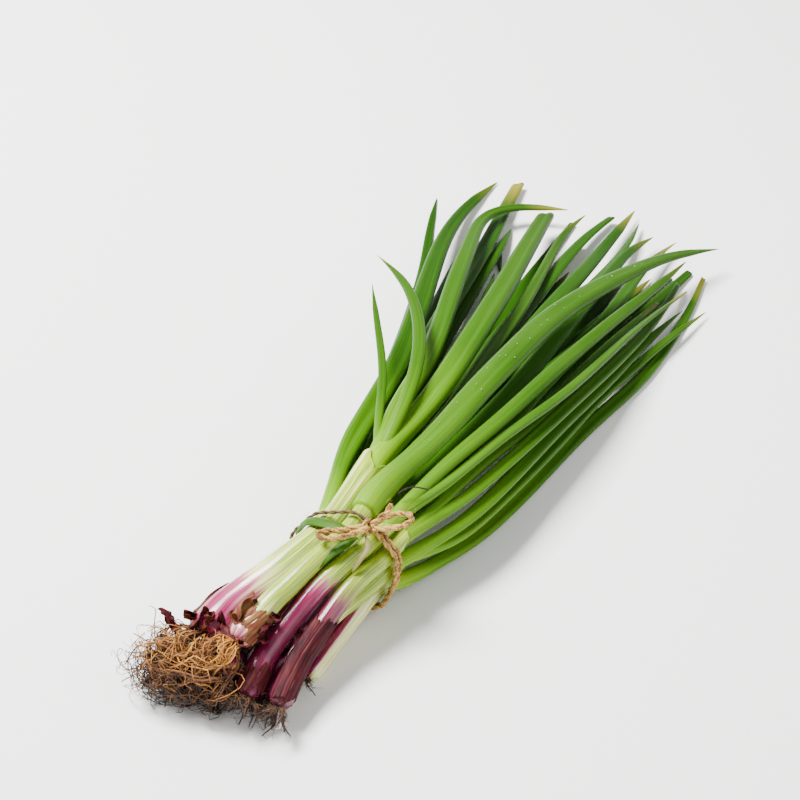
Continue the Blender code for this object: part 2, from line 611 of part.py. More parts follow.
def ring_outline(shoots):
    """The twine's centre line: drawn tight round everything that it ties."""
    circles = []
    for strand in shoots:
        line = smooth_route(np.column_stack([strand["points"], strand["room"]]), 1.5)
        plane = RING_X + RING_PITCH * (line[:, 2] - RING_HEIGHT) + RING_YAW * line[:, 1]
        circles.append(line[np.abs(line[:, 0] - plane) < TWINE_RADIUS + 2.0][:, 1:])
    circles = np.vstack(circles)
    outline = []
    for angle in np.linspace(0, 2 * np.pi, 720, endpoint=False):
        way = np.array([np.cos(angle), np.sin(angle)])
        reach = circles[:, :2] @ way + circles[:, 2]
        best = circles[reach.argmax()]
        outline.append(best[:2] + way * (best[2] + TWINE_RADIUS + TWINE_GAP))
    outline = np.array(outline)
    outline[:, 1] = np.maximum(outline[:, 1], TWINE_RADIUS - 0.2)
    length = run_length(np.vstack([outline, outline[:1]]))
    marks = np.linspace(0, length[-1], 38, endpoint=False)
    closed = np.vstack([outline, outline[:1]])
    y, z = (np.interp(marks, length, column) for column in closed.T)
    x = RING_X + RING_PITCH * (z - RING_HEIGHT) + RING_YAW * y
    return np.column_stack([x, y, z])


def twine_pieces(shoots):
    """The ring round the bunch, its knot, two bow loops and the short end."""
    ring = ring_outline(shoots)
    top = ring[ring[:, 2] > RING_HEIGHT]
    crest = top[np.abs(top[:, 1] - KNOT[1]).argmin(), 2]
    pieces = [tube_mesh(ring, np.full(len(ring), TWINE_RADIUS), 8, closed=True)]
    for route in (BOW_RIGHT, BOW_LEFT, TAIL_UP):
        line = smooth_route(np.array(route) + (0, 0, crest), 3.5)
        radii = np.full(len(line), TWINE_RADIUS * 0.93)
        pieces.append(tube_mesh(line, radii, 6, upright=False))
    turn = np.linspace(0, 2 * np.pi, 10, endpoint=False)
    wrap = KNOT + (0, 0, crest) + np.column_stack([2.2 * np.cos(turn), 1.2 * np.sin(turn),
                                                   2.4 * np.sin(turn)])
    pieces.append(tube_mesh(wrap, np.full(10, TWINE_RADIUS * 1.05), 6, closed=True, upright=False))
    return pieces


def make_materials():
    for kind, (colour, roughness) in COLOURS.items():
        material = bpy.data.materials.new(kind)
        material.use_nodes = True
        shader = material.node_tree.nodes["Principled BSDF"]
        shader.inputs["Base Color"].default_value = (*colour, 1)
        shader.inputs["Roughness"].default_value = roughness


def build():
    for thing in list(bpy.data.objects):
        bpy.data.objects.remove(thing)
    make_materials()
    shoots = push_apart(make_shoots(), SHOOT_GAP, 260)
    shanks = [s for s in shoots if s["kind"] == "shank"]
    roots = clear_roots(push_apart(shanks + make_roots(shanks), ROOT_GAP, 200, ("shank",)))
    for shank in shanks:
        onion = shank["onion"]
        leaves = [s for s in shoots if s["kind"] == "leaf" and s["onion"] == onion]
        own = [s for s in roots if s["onion"] == onion]
        fuse("onion_%s_shank" % onion, [shank_piece(shank)], "shank")
        fuse("onion_%s_leaves" % onion, leaf_pieces(shank, leaves), "leaves")
        fuse("onion_%s_roots" % onion, root_pieces(shank, own), "roots")
    for number, (onion, *extent) in enumerate(SKINS, 1):
        shank = next(s for s in shanks if s["onion"] == onion)
        fuse("dry_skin_%d" % number, [skin_mesh(shank, *extent)], "skin")
    fuse("twine_tie", twine_pieces(shoots), "twine")


build()
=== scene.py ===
"""The looks of a tied bunch of spring onions, lying on its side.

The bunch lies along X, roots at -X and leaf tips at +X, with +Z up.
Lengths are millimetres from the tie until a mesh is made, and metres from then on.
"""
import bpy
import numpy as np
from mathutils import Matrix


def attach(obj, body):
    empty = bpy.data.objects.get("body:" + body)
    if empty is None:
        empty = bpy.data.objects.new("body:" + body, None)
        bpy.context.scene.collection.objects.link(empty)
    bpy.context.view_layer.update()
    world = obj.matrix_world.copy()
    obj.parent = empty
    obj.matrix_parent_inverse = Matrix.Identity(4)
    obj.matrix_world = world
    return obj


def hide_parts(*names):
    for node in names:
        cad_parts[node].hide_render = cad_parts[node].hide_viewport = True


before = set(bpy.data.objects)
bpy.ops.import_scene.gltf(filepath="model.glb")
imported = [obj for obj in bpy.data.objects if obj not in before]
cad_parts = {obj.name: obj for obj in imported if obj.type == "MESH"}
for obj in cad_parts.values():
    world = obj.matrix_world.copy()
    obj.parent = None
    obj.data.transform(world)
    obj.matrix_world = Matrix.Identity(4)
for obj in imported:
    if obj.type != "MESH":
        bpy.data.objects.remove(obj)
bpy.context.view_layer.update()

MM = 0.001

# driving sizes
BUNCH_MIDDLE = np.array([120.0, 36.0, 0.0])  # from the tie to the middle of the outline
SPACING = 8.0          # between the points that a shank's or a leaf's line is worked out on
ROOT_SPACING = 8.0     # between those of a root's line
SHOOT_GAP = 0.7        # clear space between two shoots
ROOT_GAP = 0.7         # clear space round a root
JOIN_GAP = 0.3         # between two pieces that meet
FLAT = 0.5             # how far what lies on the ground is pressed flat
SKIN_GAP = 0.6         # between a shank and the solid of its dry skin
SKIN_THICKNESS = 0.8   # of that solid
TWINE_RADIUS = 1.5
TWINE_GAP = 0.6        # between the twine and what it ties
LIFT_LENGTH = 15.0     # how far to either side of the twine what lies over it is lifted
RING_HEIGHT = 26.0     # the ring's middle, above the ground
RING_X = -1.5          # the ring's middle, along the bunch
RING_PITCH = 0.14      # how far along the bunch the ring leans, for each mm of height
RING_YAW = -0.15       # and for each mm of width
RING_ANGLES = 720      # directions in which the ring is drawn tight
RING_POINTS = 38       # points of the ring's own line
STEADY_FREEDOM = 0.12  # how easily an onion seen from the front gives way to the others
LEAF_SPLIT = 5         # points over which the leaves of one onion stay joined
ROOT_SPLIT = 2         # points over which a root stays joined to its own shank
LEAF_EASING = 5        # rounds that take small waves out of a leaf's route
SAME_ONION_ROOM = 0.92  # how closely the leaves of one onion may lie, as a share
SHOOT_ROUNDS = 260     # rounds in which the shoots are pushed apart
ROOT_ROUNDS = 200      # and the roots
PAIRS_EVERY = 12       # rounds between two searches for near neighbours
NEAR_MARGIN = 2.0      # how much further than touching the search for neighbours reaches
CROWD_SHARE = 0.45     # several pushes on a point are divided by this share of their weight
EASY_ROUNDS = 60       # the last rounds, in which the lines are evened out less
LAST_ROUNDS = 25       # the very last ones, in which they aren't
EARLY_BLEND = 0.35     # how far a point's shift goes to the mean of its neighbours', before that
LATE_BLEND = 0.12      # and in the last rounds
SPRING_BACK = 0.9985   # how much of each shift is kept from one round to the next
ROOT_RADIUS = 0.7
ROOTS_PER_ONION = 14
ROOTS_OF_SHORT = 8     # in a short tuft
BALL_WOBBLE = 4.0      # how far a root of the ball strays from its way
TUFT_WOBBLE = 0.8      # and a root of a short tuft
ROOTS_OF_INNER = 2     # an onion that ends inside the bunch has lost most of its roots
INNER_BASE = -56.0     # the x past which an onion's base is inside the bunch
ROOTS_SEED = 11
UNDER_SEED = 7

# the kinds of line, by number
SHANK, LEAF, ROOT = range(3)
KINDS = {"shank": SHANK, "leaf": LEAF, "root": ROOT}

# each onion from its basal plate to the top of its sheath, as x, y, z and radius
ONIONS = {
    "01": [(-66, 25, 20, 9.4), (-48, 22, 25, 9.0), (-24, 12, 34, 8.4), (0, 8, 39, 6.3),
           (24, 9, 42, 6.6), (46, 12, 42, 8.4)],
    "02": [(-68, 8, 26, 6.2), (-50, 5, 29, 5.2), (-26, 1, 37, 4.5), (0, -3, 43, 4.2),
           (24, -1, 47, 5.4)],
    "03": [(-78, -3, 12, 5.4), (-62, 0, 19, 5.2), (-42, -1, 28, 4.7), (-20, -6, 36, 4.3),
           (0, -11, 39, 4.0), (22, -14, 42, 4.2)],
    "04": [(-75, -10, 8, 5.2), (-58, -7, 15, 5.0), (-34, -8, 24, 4.6), (-15, -12, 31, 4.4),
           (0, -16, 32, 4.1), (20, -20, 35, 4.1)],
    "05": [(-72, -9, 6, 5.0), (-52, -5, 9, 4.7), (-28, -8, 16, 4.3), (-7, -15, 22, 4.1),
           (0, -17, 24, 4.0), (16, -22, 27, 4.1)],
    "06": [(-54, -6, 3.5, 4.4), (-32, -7, 3.5, 4.2), (-12, -10, 8, 3.9), (0, -13, 12, 3.8),
           (18, -21, 9, 3.9)],
    "07": [(-58, 40, 12, 5.2), (-34, 31, 18, 4.6), (-12, 21, 28, 4.1), (0, 16, 31, 4.0),
           (22, 21, 34, 4.2)],
    "08": [(-68, 31, 6, 5.0), (-40, 28, 8, 4.4), (-15, 20, 16, 4.2), (0, 16, 20, 4.2),
           (24, 21, 19, 4.4)],
    "09": [(-74, 20, 4, 5.0), (-40, 19, 3.5, 4.4), (-16, 13, 9, 4.3), (0, 9, 11, 4.4),
           (24, 14, 8, 4.6)],
    "10": [(-62, 10, 4, 4.8), (-36, 10, 3.5, 4.2), (-12, 3, 7, 4.3), (0, -2, 8.4, 4.4),
           (24, 1, 6.5, 4.6)],
    "11": [(-76, 13, 16, 5.0), (-45, 13, 17, 4.6), (-20, 9, 21, 4.6), (0, 6, 25, 4.7),
           (26, 8, 27, 4.9)],
    "12": [(-58, 3, 10, 4.4), (-35, 3, 13, 4.1), (-15, -2, 18, 4.3), (0, -5, 20, 4.6),
           (24, -5, 19, 4.8)],
    "13": [(-50, -3, 17, 3.9), (-36, -4, 20, 3.9), (-20, -5, 26, 4.0), (0, -5, 31, 4.0),
           (24, -6, 35, 4.3)],
}
# the onions seen from the front keep their place, and the others give way to them
STEADY = {"01", "02", "03", "04", "05", "06"}

# each leaf: its onion, its radius at the neck and the tip, and its route past the sheath
LEAVES = [
    ("01", 4.6, 1.4, [(66, 19, 45), (90, 24, 44), (116, 29, 40), (160, 44, 34), (202, 60, 28),
                      (240, 73, 21), (276, 86, 13), (292, 84, 11), (301, 69, 11), (307, 48, 12)]),
    ("01", 3.0, 0.8, [(63, 13, 50), (79, 16, 53), (104, 25, 54), (121, 34, 53), (146, 52, 50),
                      (163, 68, 47), (180, 95, 42)]),
    ("01", 1.9, 0.7, [(58, 21, 46), (70, 26, 47), (86, 33, 48), (101, 43, 49), (122, 59, 49),
                      (151, 80, 48)]),
    ("01", 5.8, 4.2, [(63, 11, 43), (84, 11, 44), (112, 14, 43), (151, 22, 38), (189, 30, 32),
                      (237, 42, 23), (294, 56, 12)]),
    ("02", 6.0, 1.2, [(45, -5, 50), (67, -8, 51), (100, -7, 51), (132, -7, 48), (168, -6, 44),
                      (200, -8, 39), (243, -15, 31), (287, -25, 21), (313, -40, 14)]),
    ("02", 3.2, 1.2, [(60, 2, 41), (100, 6, 34), (158, 16, 26), (197, 21, 22), (257, 34, 14),
                      (292, 42, 10), (313, 40, 8)]),
    ("03", 3.4, 1.4, [(51, -17, 46), (90, -22, 44), (147, -24, 38), (179, -25, 33),
                      (216, -26, 27), (252, -28, 21), (291, -30, 17)]),
    ("03", 3.0, 0.9, [(40, -22, 42), (59, -24, 42), (92, -28, 40), (135, -34, 34), (173, -35, 28),
                      (232, -35, 17), (276, -38, 8)]),
    ("04", 3.0, 1.0, [(41, -24, 37), (67, -24, 37), (86, -27, 35), (121, -31, 31), (192, -29, 21),
                      (259, -29, 8)]),
    ("04", 3.0, 1.3, [(36, -27, 34), (58, -31, 34), (92, -34, 32), (133, -36, 28), (194, -38, 18),
                      (241, -36, 10), (283, -30, 5)]),
    ("05", 3.3, 1.2, [(30, -30, 28), (52, -35, 28), (82, -37, 27), (130, -37, 22), (181, -39, 15),
                      (232, -39, 7), (264, -43, 4)]),
    ("05", 2.8, 1.0, [(28, -31, 22), (68, -36, 19), (130, -38, 13), (175, -38, 9), (222, -44, 5),
                      (272, -52, 3)]),
    ("06", 3.5, 1.2, [(36, -26, 6), (58, -32, 4), (100, -36, 3), (160, -40, 3), (203, -47, 3),
                      (237, -46, 2.5), (262, -45, 2.5), (300, -38, 2)]),
    ("07", 3.8, 1.3, [(41, 30, 34), (82, 40, 30), (123, 49, 26), (178, 68, 21), (251, 95, 11),
                      (296, 104, 4), (326, 103, 1)]),
    ("07", 3.0, 0.8, [(45, 28, 26), (90, 42, 19), (133, 56, 14), (184, 76, 6), (232, 96, 2),
                      (261, 111, 1), (294, 125, 1)]),
    ("08", 3.8, 2.4, [(60, 28, 23), (110, 38, 19), (178, 54, 15), (245, 69, 8), (297, 83, 4),
                      (326, 90, 3)]),
    ("08", 2.6, 1.2, [(50, 26, 15), (100, 38, 10), (150, 48, 8), (220, 72, 1), (266, 83, 1),
                      (282, 80, 1), (268, 67, 1), (248, 56, 1)]),
    ("11", 3.4, 1.4, [(60, 10, 32), (116, 12, 28), (207, 24, 19), (256, 29, 13), (302, 32, 6),
                      (323, 29, 4)]),
    ("11", 3.2, 1.0, [(60, 12, 24), (120, 20, 20), (170, 34, 15), (216, 49, 7), (244, 60, 4)]),
    ("12", 3.2, 1.2, [(60, -4, 27), (110, -4, 27), (160, 0, 24), (212, 3, 20), (257, 3, 15),
                      (299, 7, 8), (326, 13, 4)]),
    ("12", 3.0, 1.1, [(60, -14, 27), (120, -18, 27), (162, -18, 26), (197, -20, 22), (240, -16, 17),
                      (293, -10, 9), (319, -13, 5)]),
    ("13", 3.2, 1.3, [(60, -2, 39), (100, 0, 36), (144, 3, 30), (206, 8, 24), (251, 11, 18),
                      (286, 16, 10), (335, 20, 5)]),
    ("13", 3.0, 1.1, [(60, -10, 38), (100, -12, 36), (150, -12, 33), (190, -8, 29), (241, -3, 20),
                      (298, 3, 10), (314, -1, 7)]),
]
# the leaves that lie underneath: their onion, how many, and where their tips spread in y
UNDER_LEAVES = [("09", 4, 26, 80), ("10", 5, -34, 34), ("12", 2, -34, -14), ("11", 1, 0, 12),
                ("13", 1, -24, -20), ("08", 1, 84, 94)]

# dry outer skins: their onion, where along it and round it they lie (mm, degrees)
SKINS = [("01", 2, 15, -95, 60), ("04", 3, 42, -60, 130), ("07", 2, 20, -30, 170),
         ("03", 1, 12, -40, 140), ("02", 3, 17, -60, 150)]

ROOT_BALL_MIDDLE = np.array([-82.0, 32.0, 13.0])
ROOT_BALL_HALF = np.array([9.0, 18.0, 11.0])
SHORT_ROOTED = {"03", "04", "05", "06"}  # these end in a short tuft outside the ball

# the knot, and the bow's two loops and its short end, with heights above the ring's top
KNOT = np.array([0.5, -11.0, 2.2])
BOW_RIGHT = [(0.5, -11, 2.0), (5, -13, 2.8), (10, -16, 3.4), (13.5, -19.5, 3.8), (14, -24, 4.5),
             (10.5, -26, 4.9), (6, -24, 4.6), (2.5, -19, 3.6), (0.5, -13, 2.4)]
BOW_LEFT = [(0, -11, 2.4), (-3, -8, 3.6), (-8, -4, 4.2), (-13, 2, 4.6), (-16, 4, 4.8),
            (-17, 1, 4.6), (-13, -5, 4.4), (-7, -9, 4.0), (-1, -11.5, 3.2)]
TAIL_UP = [(1, -12, 3.4), (3.5, -14.5, 6.4), (6.5, -17, 9.6), (8.5, -17.5, 12.4)]


def unit(vectors):
    """Vectors of length one in the same directions."""
    return vectors / np.linalg.norm(vectors, axis=-1, keepdims=True)


def smooth_route(waypoints, spacing):
    """Evenly spaced points on a smooth curve through the waypoints."""
    knots = np.asarray(waypoints, float)
    ends = np.vstack([2 * knots[0] - knots[1], knots, 2 * knots[-1] - knots[-2]])
    dense = []
    for a, b, c, d in zip(ends, ends[1:], ends[2:], ends[3:]):
        before, inside, after = (np.sqrt(np.linalg.norm((q - p)[:3]))
                                 for p, q in ((a, b), (b, c), (c, d)))
        leave = (b - a) / before - (c - a) / (before + inside) + (c - b) / inside
        arrive = (c - b) / inside - (d - b) / (inside + after) + (d - c) / after
        for t in np.linspace(0, 1, 24, endpoint=False):
            dense.append(b * (2*t**3 - 3*t**2 + 1) + leave * inside * (t**3 - 2*t**2 + t)
                         + c * (3*t**2 - 2*t**3) + arrive * inside * (t**3 - t**2))
    dense = np.array(dense + [knots[-1]])
    length = run_length(dense[:, :3])
    marks = np.linspace(0, length[-1], max(3, int(round(length[-1] / spacing)) + 1))
    return np.column_stack([np.interp(marks, length, column) for column in dense.T])


def run_length(points):
    """The distance along a line at each of its points."""
    return np.concatenate([[0], np.cumsum(np.linalg.norm(np.diff(points, axis=0), axis=1))])


def leaf_radii(base, tip, count):
    """A leaf swells a little past its neck and tapers towards its tip."""
    t = np.linspace(0, 1, count)
    swell = 0.82 + 0.18 * np.sin(np.pi * np.clip(t / 0.35, 0, 1) / 2)
    taper = 1 - (1 - tip / base) * np.clip((t - 0.4) / 0.6, 0, 1) ** 2
    return base * swell * taper


def under_leaves():
    """The leaves that lie underneath, fanned out by a rule."""
    draw = np.random.default_rng(UNDER_SEED)
    leaves = []
    for onion, count, low, high in UNDER_LEAVES:
        top = np.array(ONIONS[onion][-1][:3], float)
        for number in range(count):
            y_tip = low + (high - low) * (number + 0.5) / count
            reach = draw.uniform(250, 318)
            height = draw.uniform(1, 10)
            bow = draw.uniform(-4, 4)
            route = [(top[0] + (reach - top[0]) * t,
                      top[1] + (y_tip - top[1]) * t ** 0.9 + bow * np.sin(np.pi * t),
                      top[2] * (1 - t) ** 1.5 + height * np.sin(np.pi * t) + 1.5 * t)
                     for t in (0.2, 0.45, 0.7, 0.88, 1.0)]
            leaves.append((onion, draw.uniform(2.8, 3.5), draw.uniform(1.0, 1.6), route))
    return leaves


def make_strand(onion, kind, points, radii, room=None):
    """A centre line with its radii, and the radii that neighbours keep clear of."""
    freedom = STEADY_FREEDOM if onion in STEADY else 1.0
    return dict(onion=onion, kind=kind, points=points, radii=radii,
                room=radii if room is None else room, freedom=freedom)


def make_shoots():
    """Every onion's shank and leaves before they are pushed apart."""
    shoots = []
    for onion, route in ONIONS.items():
        line = smooth_route(route, SPACING)
        room = line[:, 3].copy()
        for owner, _, end, _, _ in SKINS:
            if owner == onion:
                room[run_length(line[:, :3]) < end + SPACING] += SKIN_GAP + SKIN_THICKNESS
        shoots.append(make_strand(onion, "shank", line[:, :3], line[:, 3], room))
    tops = {shank["onion"]: shank["points"][-1] for shank in shoots}
    for onion, base, tip, route in LEAVES + under_leaves():
        line = smooth_route(np.vstack([tops[onion], np.array(route, float)]), SPACING)
        for _ in range(LEAF_EASING):
            line[1:-1] = 0.25 * line[:-2] + 0.5 * line[1:-1] + 0.25 * line[2:]
        shoots.append(make_strand(onion, "leaf", line, leaf_radii(base, tip, len(line))))
    return shoots


def make_roots(shanks):
    """Curly roots from every basal plate out into the root ball, or in a short tuft."""
    draw = np.random.default_rng(ROOTS_SEED)
    roots = []
    for shank in shanks:
        start = shank["points"][0]
        out = unit(start - shank["points"][1])
        side = unit(np.cross(out, (0, 0, 1)))
        rise = np.cross(side, out)
        short = shank["onion"] in SHORT_ROOTED
        wobble = TUFT_WOBBLE if short else BALL_WOBBLE
        number = ROOTS_PER_ONION if start[0] < INNER_BASE else ROOTS_OF_INNER
        if short:
            number = min(number, ROOTS_OF_SHORT)
        for k in range(number):
            turn = 2 * np.pi * (k + draw.uniform(-0.3, 0.3)) / number
            spoke = side * np.cos(turn) + rise * np.sin(turn)
            first = start + out * (JOIN_GAP + 1.0) + spoke * shank["radii"][0] * 0.4
            second = first + (out + 0.7 * spoke) * (3.0 if short else draw.uniform(6, 9))
            goal = ROOT_BALL_MIDDLE + ROOT_BALL_HALF * draw.uniform(-1, 1, 3)
            goal[1] += 0.35 * (start[1] - ROOT_BALL_MIDDLE[1])
            if short:
                goal = second + (0.8 * out + 0.5 * spoke) * draw.uniform(2, 6)
            bend = 0.5 * (second + goal) + draw.normal(0, wobble, 3)
            curl = goal + 4 * unit(goal - bend) + draw.normal(0, wobble, 3)
            route = np.array([first, second, bend, goal, curl])
            route[2:, 2] = np.abs(route[2:, 2]) + ROOT_RADIUS
            line = smooth_route(route, ROOT_SPACING)
            roots.append(make_strand(shank["onion"], "root", line,
                                     np.full(len(line), ROOT_RADIUS)))
    return roots


def ground_height(x, radii):
    """The lowest height of a centre line, over the ground and over the twine."""
    bottom = RING_X - RING_PITCH * RING_HEIGHT
    lift = (2 * TWINE_RADIUS + TWINE_GAP) * np.exp(-((x - bottom) / LIFT_LENGTH) ** 4)
    return radii - FLAT + lift


def closest_on_segments(p, p_end, q, q_end):
    """Where two straight pieces come closest, as a share of each."""
    u, v, w = p_end - p, q_end - q, p - q
    uu, uv, vv = (u * u).sum(1), (u * v).sum(1), (v * v).sum(1)
    uw, vw = (u * w).sum(1), (v * w).sum(1)
    s = np.clip((uv * vw - vv * uw) / np.maximum(uu * vv - uv * uv, 1e-9), 0, 1)
    t = np.clip((uv * s + vw) / vv, 0, 1)
    s = np.clip((uv * t - uw) / uu, 0, 1)
    return s[:, None], t[:, None]


def point_table(strands, fixed_kinds):
    """Every point of the strands, with what it belongs to and how freely it moves."""
    onions = list(ONIONS)
    sizes = [len(s["points"]) for s in strands]
    starts = np.concatenate([[0], np.cumsum(sizes)[:-1]])
    strand = np.repeat(np.arange(len(strands)), sizes)
    kind = np.array([KINDS[s["kind"]] for s in strands])[strand]
    rank = np.arange(len(strand)) - starts[strand]
    inside = np.append(strand[:-1] == strand[1:], False)
    fixed = np.isin(kind, [KINDS[k] for k in fixed_kinds]) | ((kind == ROOT) & (rank == 0))
    freedom = np.array([s["freedom"] for s in strands])[strand]
    tops = {s["onion"]: starts[k] + sizes[k] - 1
            for k, s in enumerate(strands) if s["kind"] == "shank"}
    leaves = [k for k, s in enumerate(strands) if s["kind"] == "leaf"]
    return dict(
        points=np.vstack([s["points"] for s in strands]),
        room=np.concatenate([s["room"] for s in strands]),
        onion=np.array([onions.index(s["onion"]) for s in strands])[strand],
        strand=strand, kind=kind, rank=rank, starts=starts, sizes=sizes, fixed=fixed,
        freedom=np.where(fixed, 1e-6, freedom),
        segment=np.flatnonzero(inside), middle=np.flatnonzero(inside & (rank > 0)),
        leaf_start=starts[leaves], leaf_top=np.array([tops[strands[k]["onion"]] for k in leaves], int))


def near_pairs(table, now, gap):
    """The pairs of straight pieces that might touch and mustn't, and their share of room."""
    segment, kind, rank = table["segment"], table["kind"], table["rank"]
    middle = 0.5 * (now[segment] + now[segment + 1])
    apart = ((middle[:, None, :] - middle[None, :, :]) ** 2).sum(-1)
    half = np.linalg.norm(now[segment + 1] - now[segment], axis=1) / 2
    reach = table["room"][segment] + half + gap / 2 + NEAR_MARGIN
    one, two = np.nonzero(np.triu(apart < (reach[:, None] + reach[None, :]) ** 2, 1))
    i, j = segment[one], segment[two]
    same = table["onion"][i] == table["onion"][j]
    lower, higher = np.minimum(kind[i], kind[j]), np.maximum(kind[i], kind[j])
    both_leaves = (lower == LEAF) & (higher == LEAF)
    split = (rank[i] >= LEAF_SPLIT) & (rank[j] >= LEAF_SPLIT)
    root_and_shank = (lower == SHANK) & (higher == ROOT)
    free_root = np.maximum(rank[i] * (kind[i] == ROOT), rank[j] * (kind[j] == ROOT)) >= ROOT_SPLIT
    apart_enough = (both_leaves & split) | (root_and_shank & free_root)
    keep = (table["strand"][i] != table["strand"][j]) & (~same | apart_enough)
    return i[keep], j[keep], np.where(same[keep], SAME_ONION_ROOM, 1.0)


def crowding(table, now, pairs, gap):
    """How far each point has to move for the near pairs to clear each other."""
    i, j, factor = pairs
    room, freedom = table["room"], table["freedom"]
    s, t = closest_on_segments(now[i], now[i + 1], now[j], now[j + 1])
    between = now[i] + (now[i + 1] - now[i]) * s - now[j] - (now[j + 1] - now[j]) * t
    distance = np.linalg.norm(between, axis=1) + 1e-9
    need = room[i] * (1 - s[:, 0]) + room[i + 1] * s[:, 0]
    need = need + room[j] * (1 - t[:, 0]) + room[j + 1] * t[:, 0]
    lack = np.clip(need * factor + gap - distance, 0, None)
    share = (freedom[i] / (freedom[i] + freedom[j]))[:, None]
    push = between / distance[:, None] * (0.5 * lack)[:, None]
    hit = (lack > 0)[:, None]
    move = np.zeros_like(now)
    weight = np.zeros((len(now), 1))
    for index, part, way in ((i, 1 - s, share), (i + 1, s, share),
                             (j, 1 - t, share - 1), (j + 1, t, share - 1)):
        np.add.at(move, index, push * part * way)
        np.add.at(weight, index, hit * part)
    return move / np.maximum(1.0, CROWD_SHARE * weight)


def push_apart(strands, gap, rounds, fixed_kinds=()):
    """Move the strands until they clear each other, the ground and the twine."""
    table = point_table(strands, fixed_kinds)
    points, middle, fixed = table["points"], table["middle"], table["fixed"]
    shift = np.zeros_like(points)
    for step in range(rounds):
        now = points + shift
        if step % PAIRS_EVERY == 0:
            pairs = near_pairs(table, now, gap)
        shift += crowding(table, now, pairs, gap)
        left = rounds - step
        early, last = left >= EASY_ROUNDS, left <= LAST_ROUNDS
        blend = 0.0 if last else EARLY_BLEND if early else LATE_BLEND
        even = shift.copy()
        even[middle] += blend * (0.5 * (shift[middle - 1] + shift[middle + 1]) - shift[middle])
        shift = even * (SPRING_BACK if early else 1.0)
        shift[table["leaf_start"]] = shift[table["leaf_top"]]
        low = ground_height(points[:, 0] + shift[:, 0], table["room"])
        shift[:, 2] = np.maximum(shift[:, 2], low - points[:, 2])
        shift[fixed] = 0
    for strand, start, size in zip(strands, table["starts"], table["sizes"]):
        strand["points"] = (points + shift)[start:start + size]
    return strands


def clearance(one, other):
    """The clear space between two strands, measured between their straight pieces."""
    p, q = one["points"], other["points"]
    i, j = (index.ravel() for index in np.mgrid[:len(p) - 1, :len(q) - 1])
    s, t = closest_on_segments(p[i], p[i + 1], q[j], q[j + 1])
    between = p[i] + (p[i + 1] - p[i]) * s - q[j] - (q[j + 1] - q[j]) * t
    room, other_room = one["room"], other["room"]
    taken = room[i] * (1 - s[:, 0]) + room[i + 1] * s[:, 0]
    taken = taken + other_room[j] * (1 - t[:, 0]) + other_room[j + 1] * t[:, 0]
    return (np.linalg.norm(between, axis=1) - taken).min()


def clear_roots(strands):
    """The roots that pass every other onion's roots and shank without touching."""
    kept = [s for s in strands if s["kind"] == "shank"]
    for root in [s for s in strands if s["kind"] == "root"]:
        others = [s for s in kept if s["onion"] != root["onion"]]
        if all(clearance(root, other) > JOIN_GAP for other in others):
            kept.append(root)
    return [s for s in kept if s["kind"] == "root"]


def frames(points):
    """Sideways and upward directions square to a line at each of its points."""
    ways = unit(np.gradient(points, axis=0))
    up = (0.0, 0.0, 1.0) if abs(ways[0][2]) < 0.9 else (0.0, 1.0, 0.0)
    sides = unit(np.cross(ways, up))
    return sides, np.cross(sides, ways)


def ring_outline(shoots):
    """The twine's centre line: drawn tight round everything that it ties."""
    circles = []
    for strand in shoots:
        line = smooth_route(np.column_stack([strand["points"], strand["room"]]), 1.5)
        plane = RING_X + RING_PITCH * (line[:, 2] - RING_HEIGHT) + RING_YAW * line[:, 1]
        circles.append(line[np.abs(line[:, 0] - plane) < TWINE_RADIUS + 2.0][:, 1:])
    circles = np.vstack(circles)
    outline = []
    for angle in np.linspace(0, 2 * np.pi, RING_ANGLES, endpoint=False):
        way = np.array([np.cos(angle), np.sin(angle)])
        reach = circles[:, :2] @ way + circles[:, 2]
        best = circles[reach.argmax()]
        outline.append(best[:2] + way * (best[2] + TWINE_RADIUS + TWINE_GAP))
    outline = np.array(outline)
    outline[:, 1] = np.maximum(outline[:, 1], TWINE_RADIUS - 0.2)
    closed = np.vstack([outline, outline[:1]])
    length = run_length(closed)
    marks = np.linspace(0, length[-1], RING_POINTS, endpoint=False)
    y, z = (np.interp(marks, length, column) for column in closed.T)
    x = RING_X + RING_PITCH * (z - RING_HEIGHT) + RING_YAW * y
    return np.column_stack([x, y, z])


# the finer pieces
MAP_LENGTH = 100.0     # mm along a piece for one length of its map
FLOOR_CLEARANCE = 0.02  # the lowest that any corner lies above the floor
LOWEST_LINE = 0.5      # and any point on a root's or the twine's own line
SHANK_FINE = 1.2       # spacing along a shank
SHANK_AROUND = 44      # corners round a shank
SHANK_ANGLES = 2 * np.pi * np.arange(SHANK_AROUND) / SHANK_AROUND
BASE_ROUND = 4.5       # how far from its base a shank is rounded in
BASE_NARROWING = 0.62  # by how much, as a share of its section
BULB_SWELL, BULB_PLACE, BULB_LENGTH = 0.05, 9.0, 7.0
NECK_NARROWING, NECK_LENGTH = 0.1, 14.0
RIB_COUNTS = (3, 7, 13)
RIB_DEPTH = 0.016      # of the broadest ribs, as a share of the radius
MOUTH_REACH = 16.0     # how far down a sheath its ragged edge draws it out
MOUTH_SLANT = 5.0      # how uneven that edge is
SPLIT_ONION = "01"     # the sheath that is split from two sides
SPLIT_DEPTH, SPLIT_TURN = 12.0, np.radians(148)
COLLAR_DEPTH = 9.0     # how far the inside of a sheath's mouth can be seen
MOUTH_GREEN = 8.0      # how much of that inside fades to green
FINE = 2.0             # spacing along a leaf
LEAF_AROUND = 20       # corners round a leaf
LEAF_EASE = 3          # rounds that take small waves out of a leaf
BASE_SWELL = 0.3       # how much fuller a leaf is where it leaves its sheath
LARGE_LEAF = 4.4       # a leaf of a larger radius is a main one, which never has a dry tip
CUT_TIP = 2.0          # a leaf that ends in a larger radius is cut off
